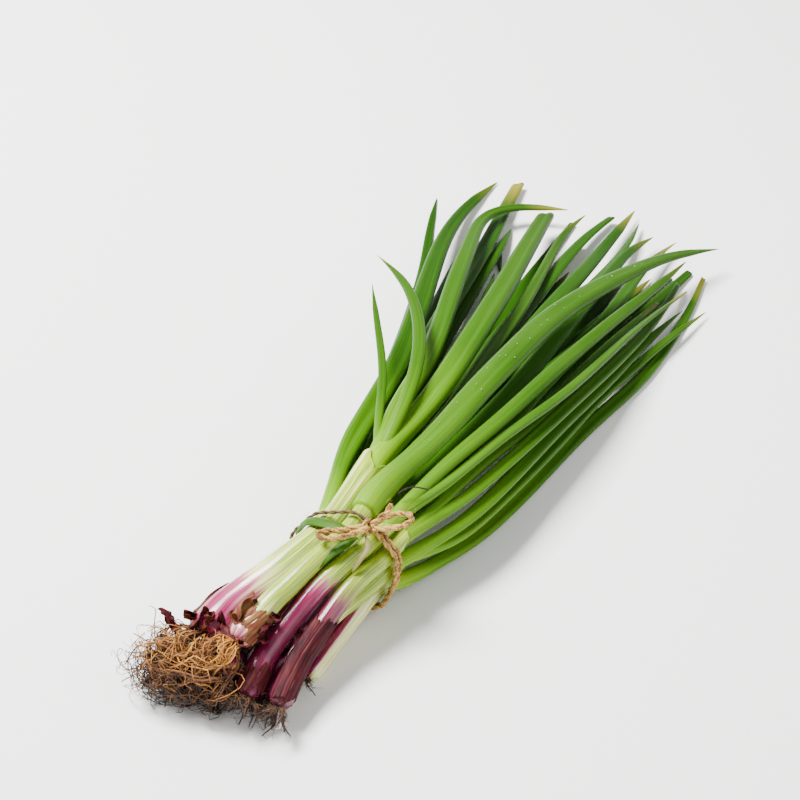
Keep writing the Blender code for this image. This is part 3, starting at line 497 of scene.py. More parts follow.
CUT_SHARE = 0.35       # the share of the small leaves that are cut off too
SKIN_FINE = 0.8        # spacing along a dry skin
SKIN_AROUND = 60       # corners across it
SKIN_THIN = 0.16       # thickness of a dry skin or scrap
SKIN_STEP = 0.5        # spacing of the shank's points that a dry skin is laid on
SKIN_OFF = 0.35        # how far it stands off the shank
SHEET_THIN = 0.3       # thickness of a strip
STRIP_ARCH = 0.35      # how far a strip arches up, as a share of its half width
STRIP_AROUND = 11      # corners across a strip
SCRAP_AROUND = 22      # corners across a scrap of skin
ROOT_FINE = 2.0        # spacing along a root
ROOTLETS = 3           # fine roots that run beside each main one
LONG_ROOT = 24.0       # a shorter root has four times as many
STUBS = 12             # short roots where a basal plate has lost its own
LOOSE_ROOTS = 190      # fine roots that make up the rest of the ball
BALL_MIDDLE = np.array([-84.5, 36.0, 14.5])
BALL_HALF = np.array([11.0, 14.0, 12.5])
STRAY_REACH = np.array([1.1, 1.55, 1.4])     # how far past the ball its loosest roots loop
STRAY_ROOT = [(-74, 50, 14), (-66, 56, 15), (-60, 60, 15), (-59, 64, 14)]
TWINE_FINE = 1.5       # spacing along the twine's own line
THIN_TWINE = 0.62      # the size of the ring's single strand, as a share of the bow's
DOUBLED_TWINE = 0.86   # and of the two strands on its near side
CRUMBS = 1500
DROPS = 26
LEAF_SEED = 3
FINE_ROOT_SEED = 21
SKIN_SEED = 9
CRUMB_SEED = 5
DROP_SEED = 8

# the inputs of the trees, in metres: side hairs on roots and twine, plies, crumbs and drops
HAIR_SIZES = ("Hair length", "Hair spacing", "Hair radius")
ROOT_HAIRS = {"Hair length": 0.004, "Hair spacing": 0.008, "Hair radius": 0.0001}
TANGLE_HAIRS = {"Hair length": 0.005, "Hair spacing": 0.012, "Hair radius": 0.00009, "Seed": 3}
TWIG_HAIRS = {"Hair length": 0.003, "Hair spacing": 0.006, "Hair radius": 0.0001, "Seed": 5}
TWINE_SIZES = {"Ply radius": 0.0008, "Ply offset": 0.00062, "Turns a metre": 105.0,
               "Hair length": 0.003, "Hair spacing": 0.0009, "Hair radius": 0.00006, "Seed": 4}
CRUMB_SIZES = {"Crumb size": 0.0024, "Roughness": 0.0009, "Seed": CRUMB_SEED}
DROP_SIZES = {"Crumb size": 0.0005, "Roughness": 0.0, "Seed": 6}
# how a hair bends: its points, its noise's scale, detail and offset, and the shortest length
ROOT_HAIR_LOOK = (5, 1.7, 1.0, 0.5, 0.3)
FIBRE_LOOK = (4, 1.3, 0.0, 0.0, 0.4)
TWINE_STEP = 0.0008    # metres between the rings of a ply
FULL_TURNS = (6.28, 6.28, 6.28)  # about each axis, in radians

# each dry skin's rolled edge (its radius, how many degrees of skin it takes, how tightly it
# is rolled) and its tone, in the order of SKINS
SKIN_ROLLS = [((1.9, 26, 7.0), 0.9), ((0.3, 4, 2.0), 0.0), ((1.2, 20, 5.0), 0.6),
              ((0.8, 8, 4.0), 0.2), ((2.3, 34, 7.0), 1.0)]
# the scraps of skin among the roots: the middle and the half size of each
SCRAPS = [((-67, 44, 23), (6.5, 3.8, 4)), ((-65, 37, 27), (5.5, 4.2, 4)),
          ((-65, 31, 29), (5.4, 4.2, 4)), ((-65, 26, 30), (5.2, 4.2, 4)),
          ((-64, 20, 30), (6, 4.6, 4)), ((-60, 13, 31), (6.5, 5.4, 5)),
          ((-55, 8, 33), (6.5, 5.2, 5)), ((-58, 5, 31), (6, 4.6, 5)),
          ((-52, 3, 34), (4.8, 3.8, 4)), ((-64, 14, 27), (6.5, 5, 5)),
          ((-71, 9, 31), (5.2, 4.6, 4)), ((-70, 15, 31), (5.4, 4.4, 4))]
# the heaps of soil: the middle, the spread and the share of the crumbs of each; the last, inside the
# root ball, is partly painted shade, its dark crumbs showing between the roots as their shadow
SOIL_AND_SHADE_HEAPS = [((-60, 24, 14), (5, 8, 5), 0.3), ((-66, 8, 6), (4, 5, 3), 0.25),
              ((-79, 30, 10), (6, 9, 4.5), 0.45)]

# each shank's purple: how far it reaches (mm), how deep it is (0 to 1), which side is purple
# in degrees with how much of the way round; where the green starts and is full (mm), and how
# far it is full; and how papery and brown the purple part is
TINTS = {
    "01": (44, 0.42, 170, 1.0, 14, 44, 0.5, 0.0), "02": (28, 0.3, 90, 1.0, 4, 34, 1.0, 0.0),
    "03": (66, 1.0, 0, 1.0, 34, 54, 1.0, 0.0), "04": (60, 0.85, 0, 1.0, 34, 56, 1.0, 0.8),
    "05": (52, 1.0, 120, 0.5, 36, 66, 0.85, 0.0), "06": (46, 1.0, 140, 0.5, 36, 66, 0.9, 0.0),
    "07": (46, 0.6, 0, 1.0, 26, 52, 1.0, 0.2), "08": (56, 0.95, 0, 1.0, 30, 56, 1.0, 0.0),
    "09": (60, 0.95, 0, 1.0, 34, 58, 1.0, 0.0), "10": (46, 0.85, 0, 1.0, 24, 46, 1.0, 0.2),
    "11": (58, 0.95, 0, 1.0, 34, 58, 1.0, 0.0), "12": (34, 0.8, 0, 1.0, 14, 36, 1.0, 0.3),
    "13": (28, 0.7, 0, 1.0, 8, 30, 1.0, 0.6),
}
# how blue-green and how deep each onion's leaves are, from yellow-green at 0 to blue-green at 1, and
# how much pale bloom they bear; the deep blue-green of the onions that lie under and behind the
# others (07 to 13) is partly painted shade and partly the leaves' own tone
LEAF_TONE_AND_SHADE = {
    "01": (0.1, 0.1), "02": (0.42, 0.5), "03": (0.6, 0.5), "04": (0.5, 0.3), "05": (0.4, 0.2),
    "06": (0.28, 0.1), "07": (0.8, 0.0), "08": (0.75, 0.0), "09": (0.65, 0.0), "10": (0.7, 0.0),
    "11": (0.95, 0.1), "12": (0.85, 0.2), "13": (0.95, 0.2),
}
# thin strips that lie over the shanks near the tie: their half width and their route
GREEN_STRIP = (2.9, [(-8.5, 20.5, 37), (-5.5, 16.5, 43.5), (-5.5, 7.5, 47.2), (-6, -1.5, 48.6),
                     (-5, -8, 48)])
SHEATH_FLAP = (2.6, [(-6, -9.5, 47.5), (-13, -5.6, 46), (-19, -2, 43.4), (-27, 0.4, 40)])
DRY_STRIP = (1.3, [(-3.5, -12, 48), (-7, -15.4, 45.4), (-11.5, -14.4, 42), (-16, -13, 37.4)])
TWIG = [(24, -11.6, 50), (27.3, -13.1, 51), (30.4, -15.8, 51), (34, -20.5, 49)]

# the studio, in metres and watts, and its camera, in millimetres from the tie
FLOOR_HALF = 3
ROOM_LIGHT = 0.6
LAMPS = (("Key", (-0.1, 0.8, 1.45), 0.6, 120.0), ("Fill", (0.1, -1.2, 1.0), 1.2, 11.0))
CAMERA_PLACE = np.array([-490.7, -321.8, 607.4])
CAMERA_AZIMUTH, CAMERA_ELEVATION = np.radians(-59.0), np.radians(40.0)


def fade(values, none, full):
    """0 at none and beyond it, 1 at full and beyond it, and even between the two."""
    return np.clip((values - none) / (full - none), 0, 1)


def above_floor(places):
    """The places, raised to just above the floor where they would be lower."""
    places[..., 2] = np.maximum(places[..., 2], FLOOR_CLEARANCE)
    return places


def in_metres(points):
    """The places in the part's own frame, in metres, of points in millimetres from the tie."""
    return ((points - BUNCH_MIDDLE) * MM).tolist()


def linear(colour):
    """The linear colour of an sRGB hex colour."""
    parts = [int(colour[k:k + 2], 16) / 255 for k in (1, 3, 5)]
    return tuple(c / 12.92 if c <= 0.04045 else ((c + 0.055) / 1.055) ** 2.4 for c in parts) + (1,)


def add_node(tree, kind, inputs=(), stops=(), **settings):
    """A node with its settings, its inputs joined to sockets or set to values, and ramp stops."""
    node = tree.nodes.new(kind)
    for name, value in settings.items():
        setattr(node, name, value)
    for name, value in dict(inputs).items():
        if isinstance(value, bpy.types.NodeSocket):
            tree.links.new(value, node.inputs[name])
        else:
            node.inputs[name].default_value = value
    for number, (place, colour) in enumerate(stops):
        elements = node.color_ramp.elements
        stop = elements[number] if number < 2 else elements.new(place)
        stop.position, stop.color = place, linear(colour)
    return node


# piece making

def put_in_scene(name, data):
    """A new object with that mesh, light or camera."""
    thing = bpy.data.objects.new(name, data)
    bpy.context.scene.collection.objects.link(thing)
    return thing


def add_mark(mesh, name, values):
    """A named value at every point of a mesh, which its material or its tree reads."""
    mesh.attributes.new(name, "FLOAT", "POINT").data.foreach_set("value", values)


def grid_part(rings, run, marks):
    """A closed tube from its rings of corners, with how far along it (mm) each ring is."""
    rows, around = rings.shape[:2]
    corners = rings.reshape(-1, 3)
    drawn = run / MAP_LENGTH
    faces, places = [], []
    for row in range(rows - 1):
        for k in range(around):
            a, b = row * around + k, row * around + (k + 1) % around
            faces.append((a, b, b + around, a + around))
            places.append(((k / around, drawn[row]), ((k + 1) / around, drawn[row]),
                           ((k + 1) / around, drawn[row + 1]), (k / around, drawn[row + 1])))
    for row, centre in ((0, len(corners)), (rows - 1, len(corners) + 1)):
        for k in range(around):
            a, b = row * around + k, row * around + (k + 1) % around
            left, right = (k / around, drawn[row]), ((k + 1) / around, drawn[row])
            middle = ((k + 0.5) / around, drawn[row])
            faces.append((a, b, centre) if row else (b, a, centre))
            places.append((left, right, middle) if row else (right, left, middle))
    filled = {}
    for name, values in marks.items():
        values = np.asarray(values, float)
        if values.ndim == 1:
            values = values[:, None]
        values = np.broadcast_to(values, (rows, around))
        filled[name] = np.concatenate([values.ravel(), [values[0].mean(), values[-1].mean()]])
    corners = np.vstack([corners, rings[0].mean(0), rings[-1].mean(0)])
    return dict(corners=corners, faces=faces, places=places, marks=filled)


def make_piece(name, parts, material):
    """One mesh object, in metres, from its parts."""
    corners, faces, places, marks = [], [], [], {}
    start = 0
    for part in parts:
        corners.append(part["corners"])
        faces += [tuple(k + start for k in face) for face in part["faces"]]
        places += part["places"]
        for key, values in part["marks"].items():
            marks.setdefault(key, []).append(values)
        start += len(part["corners"])
    mesh = bpy.data.meshes.new(name)
    mesh.from_pydata(in_metres(np.vstack(corners)), [], faces)
    for key, values in marks.items():
        add_mark(mesh, key, np.concatenate(values))
    layer = mesh.uv_layers.new(name="along")
    layer.uv.foreach_set("vector", np.concatenate([np.ravel(p) for p in places]))
    mesh.materials.append(material)
    mesh.shade_smooth()
    return put_in_scene(name, mesh)


def finish_piece(thing, slot, *nodes):
    """The piece rides on the bunch and stands for its nodes."""
    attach(thing, "root")
    if nodes:
        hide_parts(*nodes)


def rings_along(points, wide, tall, turn, around, shape=None):
    """Rings of corners round a line: flattened, turned, and shaped by a function."""
    across, rise = frames(points)
    angles = -np.pi / 2 + 2 * np.pi * np.arange(around) / around
    x = wide[:, None] * np.cos(angles)
    y = tall[:, None] * np.sin(angles)
    if shape is not None:
        x, y = shape(x, y, wide[:, None], tall[:, None])
    cos, sin = np.cos(turn)[:, None], np.sin(turn)[:, None]
    x, y = x * cos - y * sin, x * sin + y * cos
    rings = points[:, None] + x[..., None] * across[:, None] + y[..., None] * rise[:, None]
    return above_floor(rings)


# shanks

def shank_part(shank, draw):
    """A shank: rounded in at its base, faintly ribbed, with an open ragged mouth."""
    line = smooth_route(np.column_stack([shank["points"], shank["radii"]]), SHANK_FINE)
    points, radii = line[:, :3], line[:, 3].copy()
    run = run_length(points)
    radii *= np.sqrt(1 - BASE_NARROWING * (1 - fade(run, 0, BASE_ROUND)) ** 2)
    radii *= 1 + BULB_SWELL * np.exp(-((run - BULB_PLACE) / BULB_LENGTH) ** 2)
    radii *= 1 + 0.012 * np.sin(run / 7.0 + draw.uniform(0, 6)) * fade(run, 0, 30)
    radii *= 1 - NECK_NARROWING * fade(run, run[-1] - NECK_LENGTH, run[-1])
    rings = rings_along(points, radii, radii, np.zeros(len(points)), SHANK_AROUND)
    ribs = np.zeros((len(points), SHANK_AROUND))
    for count in RIB_COUNTS:
        drift = draw.uniform(0, 6) + run / draw.uniform(25, 60)
        ribs += np.cos(count * SHANK_ANGLES + drift[:, None]) * RIB_DEPTH / np.sqrt(count)
    ribs *= fade(run, 0, 12)[:, None]
    rings = points[:, None] + (rings - points[:, None]) * (1 + ribs)[..., None]
    rings, run = open_mouth(rings, run, unit(points[-1] - points[-3]), shank["onion"], draw)
    return grid_part(above_floor(rings), run, shank_marks(shank["onion"], run))


def open_mouth(rings, run, way, onion, draw):
    """A sheath's ragged edge, and the inside that shows in its mouth."""
    notch = draw.uniform(0, 2 * np.pi)
    ragged = MOUTH_SLANT * np.cos(SHANK_ANGLES - notch)
    if onion == SPLIT_ONION:
        ragged = SPLIT_DEPTH * np.abs(np.sin(SHANK_ANGLES - SPLIT_TURN))
    ragged += 0.8 * np.cos(5 * SHANK_ANGLES + 1) + 0.5 * np.cos(9 * SHANK_ANGLES)
    reach = fade(run, run[-1] - MOUTH_REACH, run[-1])
    rings = rings + (reach[:, None] * (ragged - ragged.max()))[..., None] * way
    middle = rings[-1].mean(0)
    inner = [middle - way * depth + (rings[-1] - middle) * thin
             for depth, thin in ((0.0, 0.93), (0.25, 0.86), (COLLAR_DEPTH, 0.8))]
    marks = run[-1] + np.array([0.3, 0.6, COLLAR_DEPTH])
    return np.vstack([rings, inner]), np.concatenate([run, marks])


def shank_marks(onion, run):
    """How purple, how green and how papery brown a shank is from its base to its mouth."""
    reach, depth, side, spread, green_from, green_full, green_most, papery = TINTS[onion]
    facing = 0.5 + 0.5 * np.cos(SHANK_ANGLES - np.pi / 2 - np.radians(side))
    sided = fade(facing, 1 - spread, 1.3 - spread) if spread < 1 else np.ones(SHANK_AROUND)
    purple = fade(run, reach, reach - 30)[:, None] * depth * sided
    greening = np.maximum(fade(run, green_from, green_full) * green_most,
                          fade(run, run[-1] - MOUTH_GREEN, run[-1]))
    brown = fade(run, reach + 6, reach - 10) * papery
    return {"purple": purple, "greening": greening, "brown": brown}


# leaves

def leaf_line(leaf, shank):
    """A leaf's centre line and its radii, from inside its sheath to its tip."""
    top = shank["points"][-1]
    way = unit(top - shank["points"][-2])
    route = np.vstack([top - way * 14, top - way * 5, leaf["points"][1:]])
    for _ in range(LEAF_EASE):
        route[3:-1] = 0.25 * route[2:-2] + 0.5 * route[3:-1] + 0.25 * route[4:]
    radii = np.concatenate([[leaf["radii"][0]] * 2, leaf["radii"][1:]])
    line = smooth_route(np.column_stack([route, radii]), FINE)
    return line[:, :3], line[:, 3].copy()


def leaf_part(leaf, shank, draw):
    """One leaf: round where it leaves the sheath, flatter with a fold further on, then its tip."""
    onion = leaf["onion"]
    points, radii = leaf_line(leaf, shank)
    run = run_length(points)
    radii *= 1 + BASE_SWELL * np.exp(-((run - 10) / 16) ** 2)
    total = run[-1]
    large = leaf["radii"][0] > LARGE_LEAF
    cut = leaf["radii"][-1] > CUT_TIP or (not large and draw.random() < CUT_SHARE)
    if not cut:
        radii *= np.clip((total - run + 0.6) / draw.uniform(14, 34), 0, 1) ** 0.62
    flat = fade(run, 14, 64)
    flat = flat * flat * (3 - 2 * flat)
    squeeze = draw.uniform(0.22, 0.42)
    widen = 0.1 if onion in STEADY else 0.5
    wide, tall = radii * (1 + widen * flat), radii * (1 - squeeze * flat)
    turn = draw.uniform(-0.35, 0.35) + draw.uniform(-0.5, 0.5) * (run / total) * flat
    turn *= 0.25 if large else 1.0
    groove = draw.uniform(0.1, 0.55) * flat[:, None]

    def folded(x, y, half, height):
        dip = groove * height * np.exp(-(x / (0.38 * half)) ** 2)
        return x, y - np.where(y > 0, dip, -0.25 * dip)

    rings = rings_along(points, wide, tall, turn, LEAF_AROUND, shape=folded)
    if cut:
        rings, run = cut_end(rings, run, unit(points[-1] - points[-3]), radii[-1], draw)
    tone, bloom = LEAF_TONE_AND_SHADE[onion]
    return grid_part(above_floor(rings), run, {
        "tone": np.clip(tone + draw.uniform(-0.3, 0.2), 0, 1), "share": np.clip(run / total, 0, 1),
        "dryness": 0.0 if large else draw.choice([0.0, 0.0, 0.3, 0.7]),
        "bloom": np.clip(bloom * draw.uniform(0.6, 1.3), 0, 1)})


def cut_end(rings, run, way, radius, draw):
    """A leaf's end cut on the slant, with the hollow inside it."""
    angles = 2 * np.pi * np.arange(LEAF_AROUND) / LEAF_AROUND
    lean = 0.8 * radius * np.cos(angles + draw.uniform(0, 6))
    slant = fade(run, run[-1] - 10, run[-1])
    rings = rings + (slant[:, None] * lean)[..., None] * way
    middle = rings[-1].mean(0)
    inner = [middle - way * depth + (rings[-1] - middle) * 0.8 for depth in (0.2, 5.0)]
    return np.vstack([rings, inner]), np.concatenate([run, run[-1] + np.array([0.5, 5.0])])


# roots

def fine_root_lines(roots, draw):
    """The main roots drawn finer, with thin ones curling beside them."""
    lines = []
    for root in roots:
        points = smooth_route(root["points"], ROOT_FINE)
        run = run_length(points)
        long = run[-1] > LONG_ROOT
        ease = fade(run, 0, 14)[:, None]
        wander = curl(run, draw, 0.7, (10, 24))
        lines.append((points + wander * ease, np.interp(run, [0, run[-1]], [0.5, 0.26])))
        for _ in range(ROOTLETS if long else 4 * ROOTLETS):
            curly = curl(run, draw, draw.uniform(2, 4), (9, 30)) + draw.normal(0, 1.0, 3)
            keep = run <= run[-1] * (draw.uniform(0.4, 1.0) if long else draw.uniform(0.3, 0.8))
            lines.append(((points + curly * ease)[keep],
                          np.linspace(draw.uniform(0.22, 0.36), 0.13, keep.sum())))
    return lines


def curl(run, draw, size, waves):
    """A smooth random wander along a line."""
    offset = np.zeros((len(run), 3))
    for _ in range(3):
        phase = draw.uniform(0, 2 * np.pi, 3)
        offset += np.sin(2 * np.pi * run[:, None] / draw.uniform(*waves, 3) + phase)
    return offset * size / 1.7


def loose_root_lines(count, middle, half, draw):
    """Fine roots that loop about inside the root ball."""
    lines = []
    for _ in range(count):
        length = draw.uniform(30, 90)
        steps = int(length / ROOT_FINE)
        run = np.arange(steps) * ROOT_FINE
        start = middle + half * unit(draw.normal(size=3)) * draw.uniform(0, 1) ** 0.4
        heading = unit(draw.normal(size=3))
        turn_to = np.cumsum(curl(run, draw, 0.17, (24, 80)), axis=0)
        ways = unit(heading + turn_to)
        points = start + np.cumsum(ways * ROOT_FINE, axis=0)
        loose = STRAY_REACH if draw.random() < 0.3 else 1.0
        inside = (points - middle) / (half * draw.uniform(0.9, 1.2) * loose)
        reach = np.linalg.norm(inside, axis=1, keepdims=True)
        points = middle + (points - middle) / np.maximum(1, reach ** 0.85)
        lines.append((points, np.linspace(draw.uniform(0.13, 0.25), 0.1, steps)))
    return lines


def line_mesh(name, lines):
    """Edges along the lines, with each point's thickness as an attribute."""
    points = np.vstack([line for line, _ in lines])
    points[:, 2] = np.maximum(points[:, 2], LOWEST_LINE)
    sizes = [len(line) for line, _ in lines]
    starts = np.concatenate([[0], np.cumsum(sizes)[:-1]])
    edges = [(s + k, s + k + 1) for s, n in zip(starts, sizes) for k in range(n - 1)]
    mesh = bpy.data.meshes.new(name)
    mesh.from_pydata(in_metres(points), edges, [])
    add_mark(mesh, "thickness", np.concatenate([radii for _, radii in lines]) * MM)
    add_mark(mesh, "strand", np.repeat(np.arange(len(lines)) * 0.618 % 1.0, sizes))
    return put_in_scene(name, mesh)


def new_tree(name, sizes):
    """An empty geometry tree, with inputs for a mesh, its sizes, a seed and a material."""
    tree = bpy.data.node_groups.new(name, "GeometryNodeTree")
    tree.interface.new_socket("Geometry", in_out="INPUT", socket_type="NodeSocketGeometry")
    tree.interface.new_socket("Geometry", in_out="OUTPUT", socket_type="NodeSocketGeometry")
    sockets = [(size, "Float") for size in sizes] + [("Seed", "Int"), ("Material", "Material")]
    for label, kind in sockets:
        tree.interface.new_socket(label, in_out="INPUT", socket_type="NodeSocket" + kind)
    return tree, tree.nodes.new("NodeGroupInput").outputs


def end_tree(tree, geometry, material):
    """The tree's end: instances made real, smooth faces and the material."""
    real = add_node(tree, "GeometryNodeRealizeInstances", {"Geometry": geometry})
    smooth = add_node(tree, "GeometryNodeSetShadeSmooth", {"Geometry": real.outputs[0]})
    skin = add_node(tree, "GeometryNodeSetMaterial",
                    {"Geometry": smooth.outputs[0], "Material": material})
    add_node(tree, "NodeGroupOutput", {0: skin.outputs[0]})


def grown(thing, tree, values):
    """The object with the tree's result as its own plain mesh, none of it under the floor."""
    modifier = thing.modifiers.new("Grow", "NODES")
    modifier.node_group = tree
    for item in tree.interface.items_tree:
        if item.in_out == "INPUT" and item.name in values:
            modifier[item.identifier] = values[item.name]
    depsgraph = bpy.context.evaluated_depsgraph_get()
    mesh = bpy.data.meshes.new_from_object(thing.evaluated_get(depsgraph))
    thing.modifiers.clear()
    places = np.empty(len(mesh.vertices) * 3, np.float32)
    mesh.vertices.foreach_get("co", places)
    places[2::3] = np.maximum(places[2::3], FLOOR_CLEARANCE * MM)
    mesh.vertices.foreach_set("co", places)
    thing.data = mesh
    return thing


def add_hairs(tree, curve, given, look):
    """Bent hairs that stand out all along a curve, at chance angles and of chance lengths."""
    points, bends, detail, offset, shortest = look
    spots = add_node(tree, "GeometryNodeResampleCurve",
                     {"Curve": curve, "Length": given["Hair spacing"]}, mode="LENGTH").outputs[0]
    line = add_node(tree, "GeometryNodeCurvePrimitiveLine", {"End": (0, 0, 1)}).outputs[0]
    fine = add_node(tree, "GeometryNodeResampleCurve", {"Curve": line, "Count": points}).outputs[0]
    noise = add_node(tree, "ShaderNodeTexNoise", {"Scale": bends, "Detail": detail}).outputs["Color"]
    centred = add_node(tree, "ShaderNodeVectorMath", {0: noise, 1: (offset,) * 3},
                       operation="SUBTRACT").outputs[0]
    bent = add_node(tree, "GeometryNodeSetPosition", {"Geometry": fine, "Offset": centred}).outputs[0]
    slim = add_node(tree, "ShaderNodeMath", {0: given["Hair radius"], 1: given["Hair length"]},
                    operation="DIVIDE").outputs[0]
    circle = add_node(tree, "GeometryNodeCurvePrimitiveCircle",
                      {"Resolution": 3, "Radius": 1.0}).outputs[0]
    hair = add_node(tree, "GeometryNodeCurveToMesh",
                    {"Curve": bent, "Profile Curve": circle, "Scale": slim,
                     "Fill Caps": True}).outputs[0]
    turned = add_node(tree, "FunctionNodeRandomValue", {"Max": FULL_TURNS, "Seed": given["Seed"]},
                      data_type="FLOAT_VECTOR").outputs[0]
    length = add_node(tree, "FunctionNodeRandomValue",
                      {2: shortest, 3: 1.0, "Seed": given["Seed"]}, data_type="FLOAT").outputs[1]
    scale = add_node(tree, "ShaderNodeMath", {0: length, 1: given["Hair length"]},
                     operation="MULTIPLY").outputs[0]
    return add_node(tree, "GeometryNodeInstanceOnPoints",
                    {"Points": spots, "Instance": hair, "Rotation": turned,
                     "Scale": scale}).outputs[0]


def roots_tree():
    """Curly roots: each line becomes a thin tube with side hairs."""
    tree, given = new_tree("Roots", HAIR_SIZES)
    curve = add_node(tree, "GeometryNodeMeshToCurve", {"Mesh": given["Geometry"]}).outputs[0]
    thickness = add_node(tree, "GeometryNodeInputNamedAttribute",
                         {"Name": "thickness"}).outputs["Attribute"]
    circle = add_node(tree, "GeometryNodeCurvePrimitiveCircle",
                      {"Resolution": 4, "Radius": 1.0}).outputs[0]
    tubes = add_node(tree, "GeometryNodeCurveToMesh",
                     {"Curve": curve, "Profile Curve": circle, "Scale": thickness,
                      "Fill Caps": True}).outputs[0]
    both = add_node(tree, "GeometryNodeJoinGeometry", {0: tubes})
    tree.links.new(add_hairs(tree, curve, given, ROOT_HAIR_LOOK), both.inputs[0])
    end_tree(tree, both.outputs[0], given["Material"])
    return tree


def twine_tree():
    """Two-ply twine: two plies wound round a line, with stray fibres."""
    tree, given = new_tree("Twine", ("Ply radius", "Ply offset", "Turns a metre") + HAIR_SIZES)
    curve = add_node(tree, "GeometryNodeMeshToCurve", {"Mesh": given["Geometry"]}).outputs[0]
    fine = add_node(tree, "GeometryNodeResampleCurve", {"Curve": curve, "Length": TWINE_STEP},
                    mode="LENGTH").outputs[0]
    along = add_node(tree, "GeometryNodeSplineParameter").outputs["Length"]
    thickness = add_node(tree, "GeometryNodeInputNamedAttribute",
                         {"Name": "thickness"}).outputs["Attribute"]
    relative = add_node(tree, "ShaderNodeMath", {0: thickness, 1: 1 / MM},
                        operation="MULTIPLY").outputs[0]
    reach = add_node(tree, "ShaderNodeMath", {0: relative, 1: given["Ply offset"]},
                     operation="MULTIPLY").outputs[0]
    turns = add_node(tree, "ShaderNodeMath", {0: along, 1: given["Turns a metre"]},
                     operation="MULTIPLY").outputs[0]
    normal = add_node(tree, "GeometryNodeInputNormal").outputs["Normal"]
    tangent = add_node(tree, "GeometryNodeInputTangent").outputs[0]
    beside = add_node(tree, "ShaderNodeVectorMath", {0: tangent, 1: normal},
                      operation="CROSS_PRODUCT").outputs[0]
    circle = add_node(tree, "GeometryNodeCurvePrimitiveCircle",
                      {"Resolution": 8, "Radius": given["Ply radius"]}).outputs[0]
    plies = add_node(tree, "GeometryNodeJoinGeometry")
    for phase in (0.0, np.pi):
        angle = add_node(tree, "ShaderNodeMath", {0: turns, 1: 2 * np.pi, 2: phase},
                         operation="MULTIPLY_ADD").outputs[0]
        offsets = []
        for direction, wave in ((normal, "COSINE"), (beside, "SINE")):
            swing = add_node(tree, "ShaderNodeMath", {0: angle}, operation=wave).outputs[0]
            size = add_node(tree, "ShaderNodeMath", {0: swing, 1: reach},
                            operation="MULTIPLY").outputs[0]
            offsets.append(add_node(tree, "ShaderNodeVectorMath", {0: direction, "Scale": size},
                                    operation="SCALE").outputs[0])
        moved = add_node(tree, "ShaderNodeVectorMath", {0: offsets[0], 1: offsets[1]},
                         operation="ADD").outputs[0]
        wound = add_node(tree, "GeometryNodeSetPosition", {"Geometry": fine, "Offset": moved})
        ply = add_node(tree, "GeometryNodeCurveToMesh",
                       {"Curve": wound.outputs[0], "Profile Curve": circle, "Scale": relative,
                        "Fill Caps": True})
        tree.links.new(ply.outputs[0], plies.inputs[0])
    tree.links.new(add_hairs(tree, fine, given, FIBRE_LOOK), plies.inputs[0])
    end_tree(tree, plies.outputs[0], given["Material"])
    return tree


def crumbs_tree():
    """Crumbs: a rough little lump on every point."""
    tree, given = new_tree("Crumbs", ("Crumb size", "Roughness"))
    ball = add_node(tree, "GeometryNodeMeshIcoSphere", {"Radius": 1.0, "Subdivisions": 1}).outputs[0]
    turned = add_node(tree, "FunctionNodeRandomValue", {"Max": FULL_TURNS, "Seed": given["Seed"]},
                      data_type="FLOAT_VECTOR").outputs[0]
    stretch = add_node(tree, "FunctionNodeRandomValue",
                       {"Min": (0.25, 0.2, 0.2), "Max": (1.0, 0.8, 0.7), "Seed": given["Seed"]},
                       data_type="FLOAT_VECTOR").outputs[0]
    scale = add_node(tree, "ShaderNodeVectorMath", {0: stretch, "Scale": given["Crumb size"]},
                     operation="SCALE").outputs[0]
    lumps = add_node(tree, "GeometryNodeInstanceOnPoints",
                     {"Points": given["Geometry"], "Instance": ball, "Rotation": turned,
                      "Scale": scale}).outputs[0]
    real = add_node(tree, "GeometryNodeRealizeInstances", {"Geometry": lumps}).outputs[0]
    noise = add_node(tree, "ShaderNodeTexNoise", {"Scale": 900.0, "Detail": 2.0}).outputs["Color"]
    centred = add_node(tree, "ShaderNodeVectorMath", {0: noise, 1: (0.5, 0.5, 0.5)},
                       operation="SUBTRACT").outputs[0]
    push = add_node(tree, "ShaderNodeVectorMath", {0: centred, "Scale": given["Roughness"]},
                    operation="SCALE").outputs[0]
    rough = add_node(tree, "GeometryNodeSetPosition", {"Geometry": real, "Offset": push})
    end_tree(tree, rough.outputs[0], given["Material"])
    return tree


# thin sheets

def sheet_part(grid, thickness, marks):
    """A thin closed sheet from the grid of corners of its middle surface."""
    rows, columns = grid.shape[:2]
    normal = unit(np.cross(np.gradient(grid, axis=0), np.gradient(grid, axis=1)))
    corners = np.concatenate([(grid + side * normal * thickness / 2).reshape(-1, 3)
                              for side in (1, -1)])
    corners = above_floor(corners)
    under = rows * columns
    drawn = run_length(grid[:, columns // 2]) / MAP_LENGTH
    spots = [(k / (columns - 1), mark) for mark in drawn for k in range(columns)] * 2
    faces = []
    for row in range(rows - 1):
        for k in range(columns - 1):
            a = row * columns + k
            faces.append((a, a + columns, a + columns + 1, a + 1))
            faces.append(tuple(under + b for b in (a, a + 1, a + columns + 1, a + columns)))
    rim = list(range(columns)) + [row * columns + columns - 1 for row in range(1, rows)]
    rim += [(rows - 1) * columns + k for k in range(columns - 2, -1, -1)]
    rim += [row * columns for row in range(rows - 2, 0, -1)]
    faces += [(a, b, under + b, under + a) for a, b in zip(rim, rim[1:] + rim[:1])]
    return dict(corners=corners, faces=faces, places=[[spots[k] for k in face] for face in faces],
                marks={name: np.full(len(corners), value) for name, value in marks.items()})


